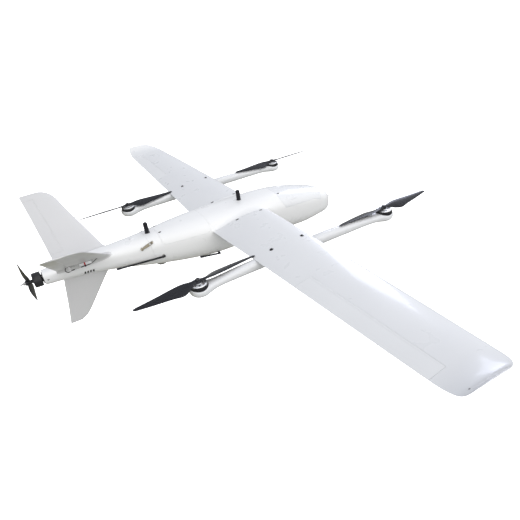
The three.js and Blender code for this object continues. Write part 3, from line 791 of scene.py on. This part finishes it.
def boom_ring(distance, end):
    half, top, low = between(BOOM, distance)
    square = 3.2 - eased(distance, 25, 55)
    ring = oval_ring(end * (ROTOR_X - distance), half, (top + low) / 2, (top - low) / 2,
                     square, 2.1, 44)
    return [point + Vector((0, BOOM_Y, 0)) for point in ring]


def build_booms():
    near = [-36, -35.4, -34.4, -33, -31, -28.5, -25] + steps(-21, 66, 24) + steps(75, 290, 12)
    rings = [boom_ring(d, -1) for d in near] + [boom_ring(d, 1) for d in reversed(near)]
    boom = loose("lift_boom_skin_left", loft(rings))
    well_floor, well_radius = 118, 32.6
    for x in (ROTOR_X, -ROTOR_X):
        carve(boom, rod((x, BOOM_Y, well_floor), (x, BOOM_Y, 180), well_radius, facets=64))
    carve(boom, loft([wing_ring(y, grow=0.3) for y in (BOOM_Y - 60, BOOM_Y, BOOM_Y + 60)]))
    finish_pair(boom, "white_shell", "airframe", ["lift_boom_{side}"], crisp=40)


BLADE = [                    # radius, leading edge y, chord, pitch in degrees, thickness
    (8, 9, 18, 10, 8),
    (24, 11, 23, 18, 6.5),
    (42, 15, 39, 19, 5),
    (62, 17, 51, 17, 4.4),
    (78, 16.5, 51, 15.5, 4),
    (100, 15, 45, 13.5, 3.6),
    (145, 10.5, 34, 11.5, 2.8),
    (190, 7, 23, 9.5, 2.1),
    (212, 5.5, 17, 8.5, 1.7),
    (221, 4, 13, 8.2, 1.4),
    (225, 2, 8, 8, 1.2),
]
PUSHER_BLADE = [
    (8, 7, 14, 54, 7),
    (20, 10, 20, 51, 5.5),
    (38, 13, 27, 43, 4.4),
    (62, 14, 29, 34, 3.2),
    (95, 12, 24, 26, 2.4),
    (125, 8, 15, 21, 1.7),
    (142, 3, 6, 19, 1.1),
]
TWIST_AXIS = 6               # a blade is twisted about a line this far ahead of its spar


def blade_ring(stations, radius, count=28):
    lead, chord, pitch, thickness = between(stations, radius)
    tilt = math.radians(pitch)
    ring = []
    for k in range(count):
        turn = math.tau * (k + 0.5) / count
        share = (1 - math.cos(turn)) / 2
        y = lead - share * chord - TWIST_AXIS
        z = (math.sin(turn) * (1.25 - 0.5 * share) * thickness / 2
             + 0.32 * thickness * math.sin(math.pi * share))
        ring.append(Vector((radius, y * math.cos(tilt) - z * math.sin(tilt) + TWIST_AXIS,
                            y * math.sin(tilt) + z * math.cos(tilt))))
    return ring


def blades(stations):
    tip = stations[-1][0]
    radii = steps(8, tip * 0.5, 22) + steps(tip * 0.54, tip * 0.92, 10)
    radii += [tip * share for share in (0.94, 0.96, 0.975, 0.985, 0.993, 0.9995)]
    blade = loft([blade_ring(stations, radius) for radius in radii])
    return blade, placed(blade, Matrix.Rotation(math.pi, 4, "Z"))


# Degrees that each parked propeller is turned from the line of its boom.
PARKED = {"front_right": 1.9, "front_left": 0.3, "rear_right": 4.4, "rear_left": 1.1}


def build_rotor(corner):
    """A lift motor and its propeller, with heights counted from the propeller's plane."""
    axis = joint_at(f"rotor_{corner}_spin")
    along, side = (1 if axis.x > 0 else -1), (1 if axis.y > 0 else -1)
    place = Matrix.Translation(axis)
    body = f"rotor_{corner}"
    base = [(0, -33.7), (32, -33.7), (32, -14.3), (31.4, -13.5), (30.9, -13.5), (30.5, -14.3),
            (30.5, -30), (22, -30), (22, -12.6), (0, -12.6)]
    piece(f"motor_ring_{corner}", placed(turned(base, 72), place), "motor_black", "airframe",
          [f"motor_base_{corner}"], rounded=0.3)
    stator = [(12, -29.9), (21.4, -29.9), (21.4, -13.4), (12, -13.4), (12, -29.9)]
    teeth = around(block((14, -1.5, -13), (21.6, 1.5, -11.2)), 12, place)
    piece(f"motor_windings_{corner}", merged(placed(turned(stator, 48), place), teeth),
          "motor_black", "airframe", material=WINDING, rounded=0.3)
    bell = loose(f"motor_bell_shape_{corner}", placed(turned(
        [(0, -9.8), (24.5, -9.8), (24.5, -27), (30, -27), (30, -9.6), (29.4, -8.5), (28, -7.3),
         (26, -6.8), (13, -6.4), (12, -5.3), (0, -5.3)], 72), place))
    window = rounded_outline([(15, -2.2), (23.5, -3.6), (23.5, 3.6), (15, 2.2)], 1.5, 3)
    carve(bell, around(prism(window, -12, -3, "xy"), 9, place, 0.5))
    finish_piece(bell, "motor_silver", body, [f"motor_bell_{corner}"], rounded=0.25)
    strip = [(30.25, -9.3), (30.25, -18.5), (29.4, -18.5), (29.4, -9.3), (30.25, -9.3)]
    piece(f"bell_band_{corner}", placed(turned(strip, 72), place), "motor_black", body)
    turn = Matrix.Rotation(math.radians(PARKED[corner]), 4, "Z")
    hub = [(0, -5), (10.2, -5), (10.5, -4.6), (10.5, 3.5), (10, 4), (0, 4)]
    shape = merged(*blades(BLADE), turned(hub, 40))
    shape = placed(shape if along * side < 0 else mirrored(shape), place @ turn)
    piece(f"propeller_{corner}", shape, "carbon_black", body, [f"lift_propeller_{corner}"],
          crisp=45)
    clamp = [(0, 4.3), (8.5, 4.3), (8.5, 6.8), (7.6, 8.1), (6, 8.3), (0, 8.3)]
    piece(f"clamp_disc_{corner}", placed(turned(clamp, 40), place @ turn), "motor_black", body,
          [f"propeller_clamp_{corner}"], rounded=0.3)
    piece(f"clamp_screws_{corner}", placed(four_screws(5.2, 8, 1.5, 0.6), place @ turn), "steel",
          body)


# ---- Tail -----------------------------------------------------------------------------------
TAIL = [                     # distance out along the plane, leading x, trailing x
    (10, -582, -784),
    (50, -598, -787),
    (170, -637, -797.5),
    (300, -679, -810),
    (345, -692, -815),
    (372, -706, -818),
    (390, -724, -820),
    (400, -745, -821.5),
]
FIN = [                      # distance down from the tail cone's middle, leading x, trailing x
    (-112, -585, -775),
    (-78, -618, -781),
    (10, -688, -796),
    (55, -724, -805),
    (75, -745, -809),
    (87, -768, -811),
]
FIN_POINTS = 48
FIN_CLOSE = 0.098            # leaves the trailing edge of the fins a little open
TAIL_THICKNESS = 0.085       # of the chord


def fin_ring(stations, out, thickness, round_from):
    """A symmetrical section at a distance out, thinned to a round edge past round_from."""
    lead, trail = between(stations, out)
    chord = lead - trail
    thickness *= tip_thinning(max(0.0, (out - round_from) / (stations[-1][0] - round_from)))
    ring = []
    for k in range(FIN_POINTS):
        turn = math.tau * (k + 0.5) / FIN_POINTS
        share = (1 + math.cos(turn)) / 2
        half = 5 * thickness * chord * aerofoil_curve(share, FIN_CLOSE)
        ring.append(Vector((lead - share * chord, out, half if turn < math.pi else -half)))
    return ring


TILT = Matrix.Translation((0, 0, TAIL_PLANE_Z)) @ Matrix.Rotation(DIHEDRAL, 4, "X")
DOWN = Matrix.Rotation(-math.pi / 2, 4, "X")
SWEEP = math.atan2(RUDDERVATOR_ENDS[0][0] - RUDDERVATOR_ENDS[1][0],
                   RUDDERVATOR_ENDS[1][1] - RUDDERVATOR_ENDS[0][1])
HINGE = Matrix.Translation((*RUDDERVATOR_ENDS[0][:2], 0)) @ Matrix.Rotation(SWEEP, 4, "Z")


def tail_ring(out):
    return fin_ring(TAIL, out, TAIL_THICKNESS, 396)


def tail_half(x, out):
    """Half the tail plane's thickness at a place on it."""
    lead, trail = between(TAIL, out)
    chord = lead - trail
    return 5 * TAIL_THICKNESS * chord * aerofoil_curve(clamped((lead - x) / chord), FIN_CLOSE)


def build_tail():
    spans = steps(30, 330, 14) + [345, 358, 366, 374, 380, 385, 390, 394, 397, 398.8, 399.8]
    plane = loose("tail_plane_skin_left", loft([tail_ring(out) for out in spans]))
    flap = split_control(plane, "ruddervator_skin_left", RUDDERVATOR_ENDS, RUDDERVATOR_NOSE,
                         -30, 30)
    horn = placed(prism(rounded_outline([(-4, -1), (-3, -21.4), (3, -21.4), (3.4, -1)], 2.6),
                        25.6, 27.6, "xz"), HINGE)
    carve(flap, horn, "UNION")
    arm_slot, horn_slot = ((40, 19, -40), (64, 23.3, 5)), ((-3, 24.6, -40), (12, 28.6, 0))
    for low, high in (arm_slot, horn_slot):
        carve(plane, placed(block(low, high), HINGE))
    for made in (plane, flap):
        made.data.transform(Matrix.Scale(MM, 4) @ TILT @ Matrix.Scale(1 / MM, 4))
    # The tail planes, ruddervators and their fillets wear the darker copy of the white paint, which is painted
    # shade.
    finish_pair(plane, "white_shell", "airframe", ["tail_plane_{side}"], material=TAIL_PAINT_PAINTED_SHADE,
                crisp=40)
    finish_pair(flap, "white_shell", "ruddervator_{side}", ["ruddervator_{side}"],
                material=TAIL_PAINT_PAINTED_SHADE, crisp=40)
    fillet = root_fillet(lambda k, out: TILT @ tail_ring(out)[k], FIN_POINTS, 5, 90,
                         lambda out: 12.0, 12)
    pair("tail_root_fillet_{side}", fillet, "white_shell", "airframe", material=TAIL_PAINT_PAINTED_SHADE,
         crisp=80)


def fin_at(out):
    return [DOWN @ point for point in fin_ring(FIN, out, 0.08, 84)]


def build_lower_fin():
    spans = steps(-110, 50, 12) + [60, 68, 74, 79, 82, 84, 85.5, 86.5, 86.9]
    # The lower fin wears the darker copy of the white paint, which is painted shade.
    piece("lower_fin_skin", loft([fin_at(out) for out in spans]), "white_shell", "airframe",
          ["ventral_fin"], material=TAIL_PAINT_PAINTED_SHADE, crisp=40)


# ---- Pusher ---------------------------------------------------------------------------------
ALONG_X = Matrix.Translation(PUSHER) @ Matrix.Rotation(math.pi / 2, 4, "Y")


def build_pusher():
    """Heights run forward from the tail cone's end."""
    mount = [(0, -0.3), (23, -0.3), (23, -2.4), (22.4, -3), (14, -3), (14, -30), (0, -30)]
    piece("pusher_mount", placed(turned(mount, 48), ALONG_X), "motor_black", "airframe",
          ["pusher_motor_base"], rounded=0.3)
    piece("pusher_mount_screws", placed(four_screws(18.5, 3, 2.4, 1.6),
                                        ALONG_X @ Matrix.Rotation(math.pi, 4, "X")),
          "steel", "airframe")
    bell = loose("pusher_bell_shape", placed(turned(
        [(0, -32), (18, -32), (18, -7), (26.9, -7), (27.5, -7.8), (27.5, -31.5), (26.8, -33.6),
         (25, -35.5), (9, -36), (7.6, -37.5), (7, -40), (7, -50), (0, -50)], 64), ALONG_X))
    window = rounded_outline([(10.5, -1.6), (22.5, -3.8), (22.5, 3.8), (10.5, 1.6)], 1.5, 3)
    carve(bell, around(prism(window, -40, -30.5, "xy"), 8, ALONG_X))
    finish_piece(bell, "motor_black", "pusher", ["pusher_motor_bell"], rounded=0.3)
    stator = [(14.3, -8), (17.6, -8), (17.6, -30), (14.3, -30), (14.3, -8)]
    piece("pusher_windings", placed(turned(stator, 40), ALONG_X), "motor_black", "airframe",
          material=WINDING)
    hub = turned([(0, -5.5), (9, -5.5), (9.5, -5), (9.5, 5), (9, 5.5), (0, 5.5)], 36)
    turn = Matrix.Rotation(math.radians(33.5), 4, "X") @ Matrix.Rotation(-math.pi / 2, 4, "Y")
    place = Matrix.Translation(PUSHER + Vector((-56, 0, 0))) @ turn
    piece("pusher_blades", placed(merged(*blades(PUSHER_BLADE), hub), place), "carbon_black",
          "pusher", ["pusher_propeller"], crisp=45)
    nut = [(0, -62), (7, -62), (7, -67), (6, -68.4), (3, -69), (3, -77), (2.2, -79.4), (0, -80.4)]
    washer = [(4, -61.6), (8.6, -61.6), (8.6, -62.6), (4, -62.6), (4, -61.6)]
    piece("pusher_spindle_nut", placed(merged(turned(nut, 6), turned(washer, 32)), ALONG_X),
          "steel", "pusher", ["pusher_nut"], rounded=0.4)


# ---- Fittings -------------------------------------------------------------------------------
def build_legs():
    """Black bars that lie folded along the skin, each with an elbow, a shoe and a bushing."""
    radius = 3.8
    for end, foot in (("front", (-265.5, 74, 31)), ("rear", (-592, 60, 101))):
        name = f"leg_{end}_{{side}}"
        elbow = joint_at(f"leg_{end}_left_swing")
        toe = Vector(foot)
        along = (toe - elbow).normalized()
        inner = Vector((elbow.x, elbow.y - 28, elbow.z))
        bar = merged(rod(inner, elbow, radius), ball(elbow, radius),
                     rod(elbow, toe - along * 1.5, radius, radius),
                     rod(toe - along * 1.5, toe, radius, radius - 1))
        pair(f"{name}_bar", bar, "black_plastic", name, [name])
        shoe = rod(toe - along * 16, toe - along * 0.5, radius + 0.7, radius + 0.5)
        collar = rod(elbow + along * 5, elbow + along * 9, radius + 0.5, radius + 0.5)
        pair(f"{name}_shoe", merged(shoe, collar), "black_plastic", name, rounded=0.4)
        ring = [(radius + 0.5, -2), (radius + 3, -2), (radius + 3, 0.5), (radius + 2.4, 1.1),
                (radius + 0.5, 1.1), (radius + 0.5, -2)]
        bushing = placed(turned(ring, 32), facing(on_skin(elbow), (0, 1, 0)))
        pair(f"{name}_bushing", bushing, "grey_plate", "airframe")


def build_latches():
    """Draw latches across the tail seam: base, tapered lever, wire loop and hooked catch."""
    place = (Matrix.Translation(joint_at("latch_lever_left_swing"))
             @ Matrix.Rotation(math.radians(7.2), 4, "Z")
             @ Matrix.Rotation(math.radians(30), 4, "X")
             @ Matrix.Rotation(math.radians(-18), 4, "Y"))

    def made(name, shapes, look, body, replaces=(), rounded=0.3):
        pair(f"{name}_{{side}}", placed(merged(*shapes), place), look, body, replaces,
             rounded=rounded)

    ears = [block((-2.6, -4.6, z), (2.6, 1.6, z + 1)) for z in (-6.3, 5.3)]
    made("latch_foot", [block((-6, -6.5, -4), (6, -2.6, 4)),
                        block((-2.6, -4.9, -6.3), (2.6, -4, 6.3)), *ears],
         "latch_steel", "airframe", ["latch_base_{side}"])
    outline = rounded_outline([(-1.6, -3), (8, -4), (29, -6.5), (31.5, -4), (31.5, 4),
                               (29, 6.5), (8, 4), (-1.6, 3)], 1.6)
    plate = prism(outline, -1.0, 1.1, "xz")
    flanges = [rod((3, 0.9, way * 3.0), (27, 0.9, way * 5.5), 0.9, facets=12)
               for way in (-1, 1)]
    wire = 1.15
    loop = [placed(turned([(5.2 + wire * math.cos(a), wire * math.sin(a))
                           for a in steps(0, math.tau, 12)], 36),
                   facing((34.5, 0.4, 0), (0, 1, 0)))]
    for z in (-4.1, 4.1):
        loop += [rod((37, 0.4, z), (45.5, 0.4, z), wire, facets=12),
                 ball((45.5, 0.4, z), wire, 12)]
    loop.append(rod((45.5, 0.4, -4.1), (45.5, 0.4, 4.1), wire, facets=12))
    made("latch_handle", [plate, *flanges, rod((0, 0, -5), (0, 0, 5), 1.5), *loop],
         "latch_steel", "latch_lever_{side}", ["latch_lever_{side}"], 0.2)
    hook = [block((41.6, -7, -2.2), (43.8, 2.2, 2.2)),
            block((41.6, 1.7, -2.2), (47.6, 2.8, 2.2)), block((39.5, -5.2, -6), (51, -3.4, 6))]
    made("latch_hook", hook, "latch_steel", "airframe", ["latch_catch_{side}"])
    rivets = [screw((48.5, -3.4, z), (0, 1, 0), 1.6, 0.8) for z in (-3.6, 3.6)]
    made("latch_rivets", rivets, "steel", "airframe", rounded=0)


def build_small_parts():
    for end in ("front", "rear"):
        low, high = node_box(f"antenna_{end}")
        height = 43
        foot = Vector(((low.x + high.x) / 2, 0, high.z - height))
        cap = [(0, -4), (8.8, -4), (8.8, 2), (8.5, 2.6), (8.8, 3.4), (8.8, 36), (8.6, 39),
               (7.8, 41.3), (6.4, 42.5), (4.5, height), (0, height)]
        collar = [(8.6, -2), (10.4, -2), (10.4, 0.2), (9.9, 0.8), (8.6, 0.8), (8.6, -2)]
        piece(f"antenna_cap_{end}", moved(turned(cap, 40), *foot), "black_plastic", "airframe",
              [f"antenna_{end}"])
        piece(f"antenna_collar_{end}", moved(turned(collar, 40), *foot), "black_plastic",
              "airframe")
    low, high = node_box("pitot_tube")
    radius = 2.2
    start, stop = Vector((low.x, 0, high.z - radius)), Vector((high.x, 0, low.z + radius))
    tube = merged(rod(start, stop - Vector((4, 0, 0)), radius),
                  rod(stop - Vector((4, 0, 0)), stop, radius, 1.3),
                  rod(start + Vector((13, 0, -0.6)), start + Vector((17, 0, -0.8)), 3.6, 2.6))
    piece("pitot_probe", tube, "steel", "airframe", ["pitot_tube"], rounded=0.2)
    low, high = node_box("belly_sensor")
    middle = (low + high) / 2
    ring = [(0, 28), (22, 28), (22, 2.5), (20.5, 0.6), (19, 0), (15, 0), (14, 1.5), (0, 1.5)]
    piece("belly_sensor_ring", moved(turned(ring, 56), middle.x, 0, low.z), "grey_plate",
          "airframe", ["belly_sensor"], material=SENSOR_RING)
    lens = [(0, 3), (13.6, 3), (13.6, 1.6), (11, 0.9), (6, 0.4), (0, 0.2)]
    piece("belly_sensor_glass", moved(turned(lens, 48), middle.x, 0, low.z), "black_plastic",
          "airframe", material=LENS)
    bump = [(0, -2), (8, -2), (8, 0.3), (7, 1.6), (4.5, 2.6), (0, 3)]
    top = on_skin(Vector((-500, 0, 175)))
    piece("cone_cap", moved(turned(bump, 32), *top), "white_shell", "airframe")


def build_screws():
    def seat(places, name, body, radius, length, width, raised=0.7, look="steel"):
        heads = [screw(at, normal, radius, raised) for at, normal in places]
        shade_marks = [painted_shade_patch(at, normal, length, width) for at, normal in places]
        piece(f"{name}_screws", merged(*heads), look, body)
        # The dark rounded patches about the screws are painted shade of their recesses.
        piece(f"{name}_recesses", merged(*shade_marks), "black_plastic", body, material=PAINTED_SHADE_INSIDE)

    def skin_seat(x, y, z):
        at = on_skin(Vector((x, y, z)))
        return at, skin_normal(at)

    def wing_seat(x, y):
        slope = (wing_top(x + 4, y) - wing_top(x - 4, y)) / 8
        return Vector((x, y, wing_top(x, y))), Vector((-slope, 0, 1))

    seat([skin_seat(146.4, side * 50.6, 179) for side in (1, -1)], "nose_hatch", "nose_hatch",
         2.6, 11, 7, 0.7, "motor_black")
    seat([skin_seat(-392, side * 34, 178) for side in (1, -1)], "rear_hatch", "rear_hatch",
         2.6, 12, 7, 0.7, "motor_black")
    seat([wing_seat(x, side * y) for side in (1, -1) for x, y in ((-95, 121), (15.5, 122))],
         "wing_root", "airframe", 3, 14, 8, 1.5, "motor_black")
    seat([wing_seat(x, side * BOOM_Y) for side in (1, -1) for x in (-119, 10.4)],
         "wing_boom", "airframe", 5, 15, 13, 4, "motor_black")
    seat([wing_seat(-129, side * 1229.5) for side in (1, -1)], "wing_tip", "airframe", 1.6, 5, 5)
    tail = [skin_seat(-823, side * 28, 139) for side in (1, -1)]
    for sign in SIDES.values():
        at = TILT @ Vector((-630, 47, 7.6))
        tail.append((Vector((at.x, sign * at.y, at.z)),
                     Vector((0, -sign * math.sin(DIHEDRAL), math.cos(DIHEDRAL)))))
    seat(tail, "tail", "airframe", 2, 7, 5)
    low, high = node_box("payload_plate")
    seat([(Vector((x, y, 0)), Vector((0, 0, -1))) for x in (low.x + 8, high.x - 8)
          for y in (low.y + 8, high.y - 8)], "payload_plate", "airframe", 2.6, 7.2, 7)


def build_grips():
    """Two soft ridges on each side of the nose hatch, to lift it by."""
    ridges = []
    for first, last in (((173, 23, 184), (221, 39, 174)), ((177, 87.5, 147), (232, 75, 151))):
        first, last = Vector(first), Vector(last)
        run = (last - first).normalized()
        rings = []
        for t in steps(0, 1, 18):
            at = on_skin(first.lerp(last, t))
            up = skin_normal(at)
            across = up.cross(run).normalized()
            swell = math.sin(math.pi * (0.02 + 0.96 * t)) ** 0.6
            rings.append([at + across * 4.2 * swell * math.cos(a)
                          + up * (1.9 * swell * math.sin(a) - 0.4)
                          for a in steps(0, math.tau * 19 / 20, 19)])
        ridges.append(loft(rings))
    pair("hatch_grips_{side}", merged(*ridges), "hatch_white", "nose_hatch", crisp=80)


ON_TAIL = TILT @ HINGE       # along the hinge line, with Z square to the tail plane
LINK_OUT, LINK_DROP = 24, -19           # where the pushrod runs, beside and below the hinge line


def link_rod(start, stop, radius):
    return rod((start, LINK_OUT, LINK_DROP), (stop, LINK_OUT, LINK_DROP), radius, facets=16)


def fairing_shadow_band():
    """A thin black band along the tail plane's skin, about the servo: painted shade for the dark outline of its
    pocket.
    """
    edge = rounded_outline([(-7, 3), (80, 3), (80, 34), (-7, 34)], 14, 8)
    rings = []
    for i, (u, v) in enumerate(edge):
        before, after = Vector(edge[i - 1]), Vector(edge[(i + 1) % len(edge)])
        across = Vector((after.y - before.y, before.x - after.x, 0)).normalized()
        flat = HINGE @ Vector((u, v, 0))
        at = Vector((u, v, -tail_half(flat.x, flat.y)))
        rings.append([ON_TAIL @ (at + across * 1.1 * math.cos(a)
                                 + Vector((0, 0, 0.7 * math.sin(a))))
                      for a in steps(0, math.tau * 7 / 8, 7)])
    return band(rings, tube=True)


def build_linkages():
    """Under each tail plane: the servo's fairing, its cable, the ball-ended rod and a black band of painted shade
    about them.
    """
    outline = rounded_outline([(32, 6.5), (76, 8.5), (76, 18), (72, 20), (36, 20), (32, 18)], 5)
    fairing = loft([[Vector((54 + (u - 54) * long, 13.3 + (v - 13.3) * wide, w))
                     for u, v in outline]
                    for w, long, wide in ((-3, 1, 1), (-13.5, 1, 1), (-15.6, 0.97, 0.93),
                                          (-16.4, 0.9, 0.78))])
    pair("servo_fairing_{side}", placed(fairing, ON_TAIL), "white_shell", "airframe",
         ["tail_servo_{side}"], crisp=50)
    cable = merged(bent_rod([(43, 13, -17.2), (58, 12.5, -17.8), (72, 12, -16.8),
                             (84, 11, -12.5), (96, 9, -6.5)], 1.3),
                   rod((56, 12.6, -17.6), (68, 12.2, -17.1), 2.1, facets=12))
    pair("servo_cable_{side}", placed(cable, ON_TAIL), "black_plastic", "airframe")
    eye = [(1.2, -1.5), (3.4, -1.5), (3.6, 0), (3.4, 1.5), (1.2, 1.5), (1.2, -1.5)]
    ends = [placed(turned(eye, 24), facing((x, LINK_OUT, LINK_DROP), (0, 1, 0)))
            for x in (0, 52)]
    link = merged(*ends, link_rod(3, 9, 1.3), link_rod(8, 15, 1.8), link_rod(37, 44, 1.8),
                  link_rod(43, 49, 1.3))
    pair("pushrod_link_{side}", placed(link, ON_TAIL), "black_plastic", "pushrod_{side}",
         ["pushrod_{side}"])
    pair("pushrod_shaft_{side}", placed(link_rod(14, 38, 1.4), ON_TAIL), "steel",
         "pushrod_{side}", rounded=0.2)
    hoop = bent_rod([(-6 + 9.5 * math.cos(a), 20.4, -11.5 + 9.5 * math.sin(a))
                     for a in steps(math.radians(80), math.radians(290), 20)], 1.5)
    pair("horn_hoop_{side}", placed(hoop, ON_TAIL), "black_plastic", "ruddervator_{side}")
    # A black band about the servo's pocket: painted shade.
    pair("servo_gasket_{side}", fairing_shadow_band(), "black_plastic", "airframe")


# ---- Studio ---------------------------------------------------------------------------------
def area_light(name, at, target, size, power, colour):
    data = bpy.data.lights.new(name, "AREA")
    data.shape, data.energy, data.color = "RECTANGLE", power, colour
    data.size, data.size_y = size
    made = bpy.data.objects.new(name, data)
    made.location = at
    made.rotation_euler = (Vector(target) - Vector(at)).to_track_quat("-Z", "Y").to_euler()
    bpy.context.scene.collection.objects.link(made)


def build_studio():
    """A white floor and dome that only the camera sees, an uneven sky and one window."""
    wide, floor_top, dome_radius = 400000, -2600, 40000
    floor = loose("floor", block((-wide, -wide, floor_top - 10), (wide, wide, floor_top)))
    dome = loose("backdrop", loft([
        [Vector((dome_radius * math.cos(up) * math.cos(a),
                 dome_radius * math.cos(up) * math.sin(a),
                 dome_radius * math.sin(up) + floor_top - 5))
         for a in steps(0, math.tau * 47 / 48, 47)]
        for up in steps(0, math.radians(88), 12)]))
    paper = surface("backdrop_paper", (0.95, 0.95, 0.95), (0.93, 0.93, 0.93), 0.4, (0.75, 0.85),
                    300, 0.01, shine=0.1)
    glow = paper.node_tree.nodes["Principled BSDF"]
    glow.inputs["Emission Color"].default_value = (1, 1, 1, 1)
    glow.inputs["Emission Strength"].default_value = 1.1
    floor.data.materials.append(paper)
    dome.data.materials.append(paper)
    dome.visible_shadow = False
    for plain in (floor, dome):
        plain.visible_diffuse = False
        plain.visible_glossy = False
        plain.visible_transmission = False
    world = bpy.data.worlds.new("studio")
    world.use_nodes = True
    tree = world.node_tree
    where = tree.nodes.new("ShaderNodeTexCoord").outputs["Generated"]
    parts = tree.nodes.new("ShaderNodeSeparateXYZ")
    tree.links.new(where, parts.inputs[0])

    def towards(direction):
        made = node(tree, "ShaderNodeVectorMath", operation="DOT_PRODUCT")
        made.inputs[1].default_value = direction
        tree.links.new(where, made.inputs[0])
        return made.outputs["Value"]

    share = spread(tree, towards((0.766, -0.643, 0)), 0, 1, -0.45, 0.6)
    panel = spread(tree, towards((0.05, -0.83, 0.55)), 0, 1, 0.55, 0.95)
    low = mixed(tree, share, (0.3, 0.295, 0.22), (0.44, 0.45, 0.45))
    high = mixed(tree, share, (0.54, 0.56, 0.6), (1.22, 1.24, 1.3))
    high = mixed(tree, panel, high, (2.0, 1.98, 1.95))
    sky = mixed(tree, spread(tree, parts.outputs["Z"], 0, 1, -0.15, 0.2), low, high)
    tree.links.new(sky, tree.nodes["Background"].inputs["Color"])
    bpy.context.scene.world = world
    area_light("window", (3.16, 2.15, 1.63), (0.43, -0.4, 0.2), (1.1, 2.6), 42, (0.78, 0.82, 1))
    scene = bpy.context.scene
    scene.view_settings.view_transform = "Standard"
    data = bpy.data.cameras.new("camera")
    data.lens, data.sensor_width, data.sensor_fit = 30.83, 36, "HORIZONTAL"
    data.clip_start, data.clip_end = 0.05, 2000
    camera = bpy.data.objects.new("camera", data)
    right = Vector((0.858, -0.500, -0.119))
    back = -Vector((0.382, 0.775, -0.504)).normalized()
    right = (right - back * right.dot(back)).normalized()
    up = back.cross(right)
    camera.matrix_world = Matrix.Translation((-0.7578, -1.6206, 0.9152)) @ Matrix(
        (right, up, back)).transposed().to_4x4()
    scene.collection.objects.link(camera)
    scene.camera = camera


build_fuselage()
build_wings()
build_wing_roots()
build_booms()
for name in PARKED:
    build_rotor(name)
build_tail()
build_lower_fin()
build_pusher()
build_legs()
build_latches()
build_small_parts()
build_screws()
build_grips()
build_linkages()
build_studio()
